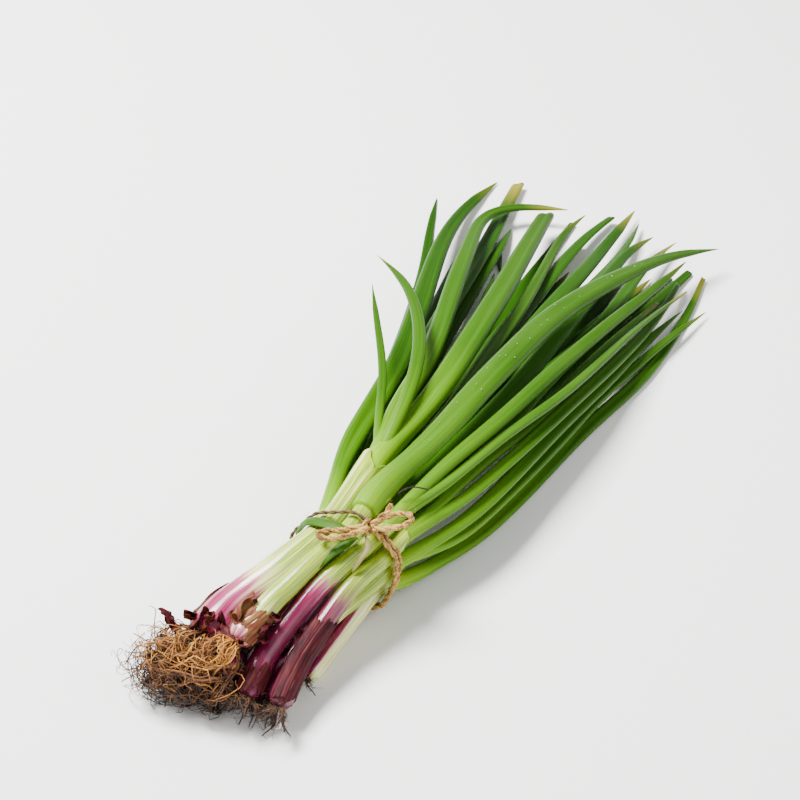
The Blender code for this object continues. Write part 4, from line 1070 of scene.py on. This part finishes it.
def dry_skin_part(shank, start, end, low, high, roll, tone, draw):
    """A papery skin part way round a shank, with torn ends and an edge that rolls off."""
    length = run_length(shank["points"])
    fine = np.arange(0, end + 14, SKIN_STEP)
    line = np.column_stack([np.interp(fine, length, c) for c in shank["points"].T])
    radii = np.interp(fine, length, shank["radii"])
    across, rise = frames(line)
    rows = int((end - start) / SKIN_FINE) + 2
    share = np.linspace(0, 1, SKIN_AROUND)
    waves = [sum(np.sin(count * np.pi * share + draw.uniform(0, 6)) * 3.4 / count ** 0.7
                 for count in (2, 5, 11, 19)) for _ in range(2)]
    grid = []
    for row in np.linspace(0, 1, rows):
        marks = start + (end - start) * row + waves[0] * (1 - row) ** 2 + waves[1] * row ** 2
        spot = np.clip(np.round(marks / SKIN_STEP).astype(int), 0, len(fine) - 1)
        loose = high + 6 * np.sin(5 * row + end) - roll[1]
        angle = np.minimum(low + share * (high - low), loose)
        rolled = np.radians(np.clip(low + share * (high - low) - loose, 0, None) * roll[2])
        wrinkle = 0.14 * np.sin(share * 40 + 3 * row) + 0.1 * np.sin(share * 90 + 9 * row)
        out = radii[spot] + SKIN_OFF + wrinkle + roll[0] * (1 - np.cos(rolled))
        over = roll[0] * np.sin(rolled)
        angle = np.radians(angle)
        outward = np.cos(angle)[:, None] * across[spot] + np.sin(angle)[:, None] * rise[spot]
        onward = -np.sin(angle)[:, None] * across[spot] + np.cos(angle)[:, None] * rise[spot]
        grid.append(line[spot] + out[:, None] * outward + over[:, None] * onward)
    return sheet_part(np.array(grid), SKIN_THIN, {"strand": tone})


def strip_part(half, route, marks):
    """A strip that lies along a route, thicker in its middle and pointed at its ends."""
    line = smooth_route(route, 1.0)
    across, rise = frames(line)
    share = np.linspace(0, 1, len(line))
    taper = np.clip(np.minimum(share / 0.25, (1 - share) / 0.25), 0.12, 1) ** 0.6 * half
    side = np.linspace(-1, 1, STRIP_AROUND)
    grid = line[:, None] + (taper[:, None] * side)[..., None] * across[:, None]
    grid += (taper[:, None] * STRIP_ARCH * (1 - side ** 2))[..., None] * rise[:, None]
    return sheet_part(grid, SHEET_THIN, marks)


def scrap_part(middle, size, draw):
    """A crumpled scrap of papery skin."""
    side = np.linspace(-1, 1, SCRAP_AROUND)
    x, y = np.meshgrid(side, side, indexing="ij")
    ragged = 1 + 0.25 * np.sin(3 * np.arctan2(y, x) + draw.uniform(0, 6))
    roll = draw.uniform(1.5, 3.2)
    flat = np.stack([x * ragged, np.sin(y * roll) / roll * ragged,
                     (1 - np.cos(y * roll)) / roll], axis=-1)
    flat[..., 2] += 0.14 * np.sin(4 * x + 5 * y) + 0.1 * np.sin(9 * x - 4 * y)
    turned = np.linalg.qr(draw.normal(size=(3, 3)))[0]
    return sheet_part(np.array(middle) + (flat * size) @ turned, SKIN_THIN,
                      {"strand": draw.uniform(0, 1)})


# materials

def new_material(name, constants):
    """A material, its tree and its shader, with the shader's constants on its own sockets."""
    material = bpy.data.materials.new(name)
    material.use_nodes = True
    shader = material.node_tree.nodes["Principled BSDF"]
    for socket, value in constants.items():
        shader.inputs[socket].default_value = value
    return material, material.node_tree, shader


def join_shader(tree, shader, colour, height=None, strength=0.0, depth=0.0):
    """The colour joined to the shader, with a bump from the height, as deep as said in metres."""
    tree.links.new(colour, shader.inputs["Base Color"])
    if height is not None:
        bump = add_node(tree, "ShaderNodeBump",
                        {"Strength": strength, "Distance": depth, "Height": height})
        tree.links.new(bump.outputs[0], shader.inputs["Normal"])


def streaks(tree, stretch, scale, detail=3.0):
    """Noise drawn out along the piece, from its own map."""
    place = add_node(tree, "ShaderNodeUVMap", uv_map="along").outputs[0]
    drawn = add_node(tree, "ShaderNodeVectorMath", {0: place, 1: (1.0, stretch, 1.0)},
                     operation="MULTIPLY").outputs[0]
    return add_node(tree, "ShaderNodeTexNoise",
                    {"Vector": drawn, "Scale": scale, "Detail": detail}).outputs["Fac"]


def marks_of(tree, *names):
    """The named attributes of a piece."""
    return [add_node(tree, "ShaderNodeAttribute", attribute_name=name).outputs["Fac"]
            for name in names]


def shank_material():
    """Spring onion shank, its moist outer scale leaf: white, veined green, purple by the roots."""
    material, tree, shader = new_material(
        "Spring onion shank, moist scale leaf",
        {"Roughness": 0.22, "Subsurface Weight": 0.1, "Subsurface Radius": (0.9, 1.0, 0.5),
         "Subsurface Scale": 0.0015})
    purple, greening, brown = marks_of(tree, "purple", "greening", "brown")
    broad = streaks(tree, 0.25, 9.0)
    middling = streaks(tree, 0.05, 26.0)
    fine = streaks(tree, 0.05, 70.0, 4.0)
    white = add_node(tree, "ShaderNodeValToRGB", {"Fac": fine},
                     stops=((0.32, "#b0bc38"), (0.6, "#fbf7bc"))).outputs[0]
    green = add_node(tree, "ShaderNodeValToRGB", {"Fac": fine},
                     stops=((0.32, "#4c7a00"), (0.7, "#bccb3a"))).outputs[0]
    swing = add_node(tree, "ShaderNodeMath", {0: middling, 1: 3.4, 2: -1.75},
                     operation="MULTIPLY_ADD").outputs[0]
    greened = add_node(tree, "ShaderNodeMath", {0: greening, 1: 1.9, 2: swing},
                       operation="MULTIPLY_ADD").outputs[0]
    started = add_node(tree, "ShaderNodeMath", {0: greening, 1: 2.0}, operation="MULTIPLY",
                       use_clamp=True).outputs[0]
    share = add_node(tree, "ShaderNodeMath", {0: greened, 1: started}, operation="MULTIPLY",
                     use_clamp=True).outputs[0]
    pale = add_node(tree, "ShaderNodeMix", {0: share, 6: white, 7: green},
                    data_type="RGBA").outputs[2]
    uneven = add_node(tree, "ShaderNodeMath", {0: broad, 1: 1.5, 2: -0.75},
                      operation="MULTIPLY_ADD").outputs[0]
    lined = add_node(tree, "ShaderNodeMath", {0: swing, 1: 0.32, 2: uneven},
                     operation="MULTIPLY_ADD").outputs[0]
    edge = add_node(tree, "ShaderNodeMath", {0: purple, 1: 1.25, 2: lined},
                    operation="MULTIPLY_ADD").outputs[0]
    held = add_node(tree, "ShaderNodeMath", {0: purple, 1: 4.0}, operation="MULTIPLY",
                    use_clamp=True).outputs[0]
    depth = add_node(tree, "ShaderNodeMath", {0: edge, 1: held}, operation="MULTIPLY",
                     use_clamp=True).outputs[0]
    tint = add_node(tree, "ShaderNodeValToRGB", {"Fac": depth},
                    stops=((0.0, "#d9b49c"), (0.3, "#a85474"), (0.6, "#860c46"),
                           (1.0, "#660634"))).outputs[0]
    shown = add_node(tree, "ShaderNodeMath", {0: depth, 1: 3.0}, operation="MULTIPLY",
                     use_clamp=True).outputs[0]
    stained = add_node(tree, "ShaderNodeMix", {0: shown, 6: pale, 7: tint},
                       data_type="RGBA").outputs[2]
    papery = add_node(tree, "ShaderNodeValToRGB", {"Fac": fine},
                      stops=((0.3, "#2e0c16"), (0.7, "#73303c"))).outputs[0]
    colour = add_node(tree, "ShaderNodeMix", {0: brown, 6: stained, 7: papery},
                      data_type="RGBA").outputs[2]
    join_shader(tree, shader, colour, fine, 0.35, 0.0003)
    return material


def leaf_material():
    """Spring onion leaf with its natural wax: fine lengthwise veins and a pale bloom."""
    material, tree, shader = new_material(
        "Spring onion leaf, waxy",
        {"Roughness": 0.42, "Specular IOR Level": 0.12, "Subsurface Weight": 0.05,
         "Subsurface Radius": (0.4, 1.0, 0.2), "Subsurface Scale": 0.0015})
    tone, share, dryness, bloom = marks_of(tree, "tone", "share", "dryness", "bloom")
    veins = streaks(tree, 0.02, 60.0)
    patches = streaks(tree, 0.5, 6.0)
    warm = add_node(tree, "ShaderNodeValToRGB", {"Fac": share},
                    stops=((0.0, "#86ae00"), (0.1, "#548000"), (0.4, "#2d5600"),
                           (1.0, "#234600"))).outputs[0]
    # the cool ramp is darker as well as bluer: where it colours the onions under and behind the others
    # it is partly painted shade
    cool = add_node(tree, "ShaderNodeValToRGB", {"Fac": share},
                    stops=((0.0, "#507c00"), (0.1, "#2e5c00"), (0.4, "#1d4602"),
                           (1.0, "#163c02"))).outputs[0]
    green = add_node(tree, "ShaderNodeMix", {0: tone, 6: warm, 7: cool},
                     data_type="RGBA").outputs[2]
    lined = add_node(tree, "ShaderNodeMath", {0: veins, 1: 2.4, 2: -0.95},
                     operation="MULTIPLY_ADD", use_clamp=True).outputs[0]
    light = add_node(tree, "ShaderNodeHueSaturation", {"Value": 1.3, "Color": green}).outputs[0]
    dark = add_node(tree, "ShaderNodeHueSaturation", {"Value": 0.52, "Color": green}).outputs[0]
    veined = add_node(tree, "ShaderNodeMix", {0: lined, 6: light, 7: dark},
                      data_type="RGBA").outputs[2]
    spread = add_node(tree, "ShaderNodeMath", {0: patches, 1: 1.6, 2: -0.3},
                      operation="MULTIPLY_ADD").outputs[0]
    bloomed = add_node(tree, "ShaderNodeMath", {0: bloom, 1: spread}, operation="MULTIPLY",
                       use_clamp=True).outputs[0]
    waxed = add_node(tree, "ShaderNodeMix", {0: bloomed, 6: veined, 7: linear("#4c6c22")},
                     data_type="RGBA").outputs[2]
    end = add_node(tree, "ShaderNodeMath", {0: share, 1: 12.0, 2: -11.0},
                   operation="MULTIPLY_ADD", use_clamp=True).outputs[0]
    dried = add_node(tree, "ShaderNodeMath", {0: end, 1: dryness}, operation="MULTIPLY").outputs[0]
    tipped = add_node(tree, "ShaderNodeMix", {0: dried, 6: waxed, 7: linear("#94882c")},
                      data_type="RGBA").outputs[2]
    join_shader(tree, shader, tipped, veins, 0.4, 0.0002)
    return material


def root_material():
    """Spring onion root, air-dried: golden to dark brown, matt and fibrous; painted light and shade
    make it golden higher up and dark towards the floor.
    """
    material, tree, shader = new_material("Spring onion root, dried", {"Roughness": 0.75})
    strand, = marks_of(tree, "strand")
    place = add_node(tree, "ShaderNodeTexCoord").outputs["Object"]
    patches = add_node(tree, "ShaderNodeTexNoise",
                       {"Vector": place, "Scale": 90.0, "Detail": 3.0}).outputs["Fac"]
    # painted light and shade: the lower a root lies, the darker it is drawn, standing in for the shade
    # under and inside the ball and the light on its top
    height = add_node(tree, "ShaderNodeSeparateXYZ", {0: place}).outputs["Z"]
    raised = add_node(tree, "ShaderNodeMath", {0: height, 1: 30.0, 2: -0.84},
                      operation="MULTIPLY_ADD").outputs[0]
    mixed = add_node(tree, "ShaderNodeMath", {0: strand, 1: 0.8, 2: raised},
                     operation="MULTIPLY_ADD").outputs[0]
    both = add_node(tree, "ShaderNodeMath", {0: patches, 1: 0.7, 2: mixed},
                    operation="MULTIPLY_ADD").outputs[0]
    colour = add_node(tree, "ShaderNodeValToRGB", {"Fac": both},
                      stops=((0.1, "#2a1a0e"), (0.42, "#462810"), (0.7, "#7e4a16"),
                             (1.0, "#bc8032"))).outputs[0]
    join_shader(tree, shader, colour)
    return material


def dry_skin_material():
    """Onion skin, dried and papery: brown-pink with fine dark veins."""
    material, tree, shader = new_material("Onion skin, dried and papery",
                                          {"Roughness": 0.55, "Specular IOR Level": 0.12})
    strand, = marks_of(tree, "strand")
    fine = streaks(tree, 0.12, 50.0, 4.0)
    broad = streaks(tree, 0.8, 8.0, 4.0)
    patched = add_node(tree, "ShaderNodeMath", {0: strand, 1: 0.35, 2: broad},
                       operation="MULTIPLY_ADD").outputs[0]
    colour = add_node(tree, "ShaderNodeValToRGB", {"Fac": patched},
                      stops=((0.35, "#280810"), (0.55, "#480c18"), (0.8, "#6c3624"),
                             (1.0, "#967040"))).outputs[0]
    lined = add_node(tree, "ShaderNodeMath", {0: fine, 1: 2.6, 2: -1.1},
                     operation="MULTIPLY_ADD", use_clamp=True).outputs[0]
    veined = add_node(tree, "ShaderNodeMix", {0: lined, 6: colour, 7: linear("#1c0a08")},
                      data_type="RGBA").outputs[2]
    join_shader(tree, shader, veined, fine, 0.7, 0.0004)
    return material


def dry_sheath_material():
    """Onion sheath, withered: olive brown."""
    material, tree, shader = new_material("Onion sheath, withered", {"Roughness": 0.6})
    fine = streaks(tree, 0.12, 50.0, 4.0)
    colour = add_node(tree, "ShaderNodeValToRGB", {"Fac": fine},
                      stops=((0.3, "#4a4418"), (0.7, "#9c9350"))).outputs[0]
    join_shader(tree, shader, colour)
    return material


def twine_material():
    """Jute twine, spun from coarse fibres: tan with brown between the fibres, with the ring's one thin
    strand painted darker as shade.
    """
    material, tree, shader = new_material("Jute twine, two-ply", {"Roughness": 0.85})
    strand, = marks_of(tree, "strand")
    place = add_node(tree, "ShaderNodeTexCoord").outputs["Object"]
    grain = add_node(tree, "ShaderNodeTexNoise",
                     {"Vector": place, "Scale": 1400.0, "Detail": 3.0}).outputs["Fac"]
    broad = add_node(tree, "ShaderNodeTexNoise",
                     {"Vector": place, "Scale": 160.0, "Detail": 2.0}).outputs["Fac"]
    both = add_node(tree, "ShaderNodeMath", {0: grain, 1: broad}, operation="ADD").outputs[0]
    colour = add_node(tree, "ShaderNodeValToRGB", {"Fac": both},
                      stops=((0.6, "#4a3010"), (0.95, "#8c662c"), (1.0, "#c39a4e"))).outputs[0]
    # painted shade: the ring's one thin strand (strand 0) is darkened as if it lay in shadow
    ring_shade_mask = add_node(tree, "ShaderNodeMath", {0: strand, 1: 0.01}, operation="LESS_THAN").outputs[0]
    ring_shaded = add_node(tree, "ShaderNodeMix", {0: ring_shade_mask, 6: colour, 7: linear("#5a4226")},
                      data_type="RGBA").outputs[2]
    join_shader(tree, shader, ring_shaded, grain, 0.6, 0.0002)
    return material


def soil_material():
    """Garden soil, dried to crumbs: dark brown and matt."""
    material, tree, shader = new_material("Garden soil, dried crumbs", {"Roughness": 0.95})
    place = add_node(tree, "ShaderNodeTexCoord").outputs["Object"]
    grain = add_node(tree, "ShaderNodeTexNoise",
                     {"Vector": place, "Scale": 500.0, "Detail": 3.0}).outputs["Fac"]
    colour = add_node(tree, "ShaderNodeValToRGB", {"Fac": grain},
                      stops=((0.3, "#100a06"), (0.75, "#3a2416"))).outputs[0]
    join_shader(tree, shader, colour)
    return material


def water_material():
    """Water in clear drops, which show as pale dots on the large leaf."""
    return new_material("Water, clear drops",
                        {"Base Color": linear("#c8d8b0"), "Roughness": 0.05, "IOR": 1.33,
                         "Transmission Weight": 0.6})[0]


def floor_material():
    """A plain pale studio floor, painted and matt."""
    return new_material("Studio floor, matt paint",
                        {"Base Color": linear("#f4f3f1"), "Roughness": 0.9})[0]


# the whole bunch

def build_onions(shoots, roots, materials):
    """Every onion's shank, leaves and roots in their finer form."""
    draw = np.random.default_rng(LEAF_SEED)
    root_draw = np.random.default_rng(FINE_ROOT_SEED)
    tree = roots_tree()
    for shank in [s for s in shoots if s["kind"] == "shank"]:
        onion = shank["onion"]
        thing = make_piece("shank_" + onion, [shank_part(shank, draw)], materials["shank"])
        finish_piece(thing, "shank", "onion_%s_shank" % onion)
        leaves = [s for s in shoots if s["kind"] == "leaf" and s["onion"] == onion]
        parts = [leaf_part(leaf, shank, draw) for leaf in leaves]
        thing = make_piece("leaves_" + onion, parts, materials["leaf"])
        finish_piece(thing, "leaf", "onion_%s_leaves" % onion)
        own = [s for s in roots if s["onion"] == onion]
        lines = fine_root_lines(own, root_draw) if own else stub_lines(shank, root_draw)
        thing = grown(line_mesh("roots_" + onion, lines), tree,
                      {**ROOT_HAIRS, "Seed": int(onion), "Material": materials["root"]})
        finish_piece(thing, "root", "onion_%s_roots" % onion)


def stub_lines(shank, draw):
    """Short root stubs under a basal plate that has lost its roots."""
    start = shank["points"][0]
    out = unit(start - shank["points"][1])
    lines = []
    for _ in range(STUBS):
        way = unit(out + draw.normal(0, 0.4, 3))
        reach = np.arange(0, draw.uniform(3, 7), 1.0)
        lines.append((start + way * reach[:, None], np.full(len(reach), 0.3)))
    return lines


def build_drops(shoots, materials):
    """Small drops of water on top of the large leaf."""
    draw = np.random.default_rng(DROP_SEED)
    leaf = max((s for s in shoots if s["kind"] == "leaf" and s["onion"] == "02"),
               key=lambda s: s["radii"][0])
    line = smooth_route(np.column_stack([leaf["points"], leaf["radii"]]), FINE)
    across, rise = frames(line[:, :3])
    spots = []
    for row in draw.integers(12, int(len(line) * 0.8), DROPS):
        angle = draw.uniform(0.9, 2.6)
        way = 1.08 * np.cos(angle) * across[row] + 0.72 * np.sin(angle) * rise[row]
        spots.append(line[row, :3] + line[row, 3] * way)
    build_lumps("drops", "leaf", np.array(spots), {**DROP_SIZES, "Material": materials["water"]})


def build_lumps(name, slot, spots, values):
    """Little lumps at the spots, as one piece."""
    mesh = bpy.data.meshes.new(name)
    mesh.from_pydata(in_metres(spots), [], [])
    finish_piece(grown(put_in_scene(name, mesh), crumbs_tree(), values), slot)


def build_root_ball(materials):
    """The fine roots that tangle in the ball, and the soil in and behind it, whose heap inside the
    ball is partly painted shade between the roots.
    """
    draw = np.random.default_rng(FINE_ROOT_SEED + 1)
    lines = loose_root_lines(LOOSE_ROOTS, BALL_MIDDLE, BALL_HALF, draw)
    stray = smooth_route(STRAY_ROOT, ROOT_FINE)
    lines.append((stray, np.full(len(stray), 0.22)))
    thing = grown(line_mesh("root_tangle", lines), roots_tree(),
                  {**TANGLE_HAIRS, "Material": materials["root"]})
    finish_piece(thing, "root")
    draw = np.random.default_rng(CRUMB_SEED)
    spots = []
    for middle, spread, share in SOIL_AND_SHADE_HEAPS:
        count = int(CRUMBS * share)
        spots.append(np.array(middle) + np.clip(draw.normal(0, 1, (count, 3)), -1.8, 1.8) * spread)
    spots = np.vstack(spots)
    spots[:, 2] = np.abs(spots[:, 2]) + 1.0
    build_lumps("soil", "root", spots, {**CRUMB_SIZES, "Material": materials["soil"]})


def build_skins(shoots, materials):
    """The papery skins, and the scraps of skin that lie among the roots."""
    draw = np.random.default_rng(SKIN_SEED)
    for number, ((onion, *extent), (roll, tone)) in enumerate(zip(SKINS, SKIN_ROLLS), 1):
        shank = next(s for s in shoots if s["kind"] == "shank" and s["onion"] == onion)
        part = dry_skin_part(shank, *extent, roll, tone, draw)
        thing = make_piece("papery_skin_%d" % number, [part], materials["dry_skin"])
        finish_piece(thing, "dry_skin", "dry_skin_%d" % number)
    parts = [scrap_part(middle, size, draw) for middle, size in SCRAPS]
    thing = make_piece("skin_scraps", parts, materials["dry_skin"])
    finish_piece(thing, "dry_skin")


def build_strips(materials):
    """The leaf strip and sheath flap under the twine, the withered strip and the twig."""
    green = {"tone": 0.0, "share": 0.7, "dryness": 0.0, "bloom": 0.5}
    for name, (half, route), look in (("leaf_strip", GREEN_STRIP, "leaf"),
                                      ("sheath_flap", SHEATH_FLAP, "leaf"),
                                      ("withered_strip", DRY_STRIP, "dry_sheath")):
        thing = make_piece(name, [strip_part(half, route, green)], materials[look])
        finish_piece(thing, "leaf")
    twig = smooth_route(TWIG, ROOT_FINE)
    thing = grown(line_mesh("twig", [(twig, np.full(len(twig), 0.45))]), roots_tree(),
                  {**TWIG_HAIRS, "Material": materials["soil"]})
    finish_piece(thing, "root")


def build_twine(shoots, materials):
    """The ring, doubled on one side, with the knot and the bow, wound from two plies."""
    ring = ring_outline(shoots)
    top = ring[ring[:, 2] > RING_HEIGHT]
    crest = top[np.abs(top[:, 1] - KNOT[1]).argmin(), 2]
    closed = smooth_route(np.vstack([ring, ring[:1]]), TWINE_FINE)
    lines = [(closed, np.full(len(closed), THIN_TWINE))]
    near = closed[(closed[:, 1] < KNOT[1] + 1) & (closed[:, 2] > 3)]
    for step in (-1.15, 1.15):
        lines.append((near + (step, 0, 0), np.full(len(near), DOUBLED_TWINE)))
    for route in (BOW_RIGHT, BOW_LEFT, TAIL_UP):
        line = smooth_route(np.array(route) + (0, 0, crest), TWINE_FINE)
        lines.append((line, np.ones(len(line))))
    turn = np.linspace(0, 2.4 * np.pi, 26)
    wrap = KNOT + (0, 0, crest) + np.column_stack([2.2 * np.cos(turn), 1.2 * np.sin(turn),
                                                   2.4 * np.sin(turn)])
    lines.append((wrap, np.ones(len(wrap))))
    thing = grown(line_mesh("twine", lines), twine_tree(),
                  {**TWINE_SIZES, "Material": materials["twine"]})
    finish_piece(thing, "twine", "twine_tie")


def build_studio():
    """A plain pale floor, soft light and the camera."""
    mesh = bpy.data.meshes.new("floor")
    half = FLOOR_HALF
    mesh.from_pydata([(-half, -half, 0), (half, -half, 0), (half, half, 0), (-half, half, 0)],
                     [], [(0, 1, 2, 3)])
    mesh.materials.append(floor_material())
    floor = put_in_scene("floor", mesh)
    world = bpy.data.worlds.new("Studio")
    bpy.context.scene.world = world
    world.use_nodes = True
    background = world.node_tree.nodes["Background"]
    background.inputs["Color"].default_value = linear("#ffffff")
    background.inputs["Strength"].default_value = ROOM_LIGHT
    for name, place, size, power in LAMPS:
        light = bpy.data.lights.new(name, "AREA")
        light.size, light.energy = size, power
        lamp = put_in_scene(name, light)
        lamp.location = place
        lamp.rotation_euler = looking_from(place)
    camera = bpy.data.cameras.new("Camera")
    camera.lens, camera.sensor_width = 85.0, 36.0
    camera.clip_start, camera.clip_end = 0.05, 20.0
    holder = put_in_scene("Camera", camera)
    holder.location = in_metres(CAMERA_PLACE)
    holder.rotation_euler = looking_from((np.sin(CAMERA_AZIMUTH) * np.cos(CAMERA_ELEVATION),
                                          -np.cos(CAMERA_AZIMUTH) * np.cos(CAMERA_ELEVATION),
                                          np.sin(CAMERA_ELEVATION)))
    bpy.context.scene.camera = holder


def looking_from(side):
    """The Euler turn of a camera or lamp that looks in from that side."""
    back = unit(np.asarray(side, float))
    right = unit(np.cross((0, 0, 1), back))
    return Matrix(np.column_stack([right, np.cross(back, right), back]).tolist()).to_euler()


def build():
    """The whole bunch and its studio, from the layout of its shoots and roots."""
    materials = {"shank": shank_material(), "leaf": leaf_material(), "root": root_material(),
                 "dry_skin": dry_skin_material(), "dry_sheath": dry_sheath_material(),
                 "twine": twine_material(), "soil": soil_material(), "water": water_material()}
    shoots = push_apart(make_shoots(), SHOOT_GAP, SHOOT_ROUNDS)
    shanks = [s for s in shoots if s["kind"] == "shank"]
    roots = clear_roots(push_apart(shanks + make_roots(shanks), ROOT_GAP, ROOT_ROUNDS, ("shank",)))
    build_onions(shoots, roots, materials)
    build_root_ball(materials)
    build_skins(shoots, materials)
    build_strips(materials)
    build_drops(shoots, materials)
    build_twine(shoots, materials)
    build_studio()


build()
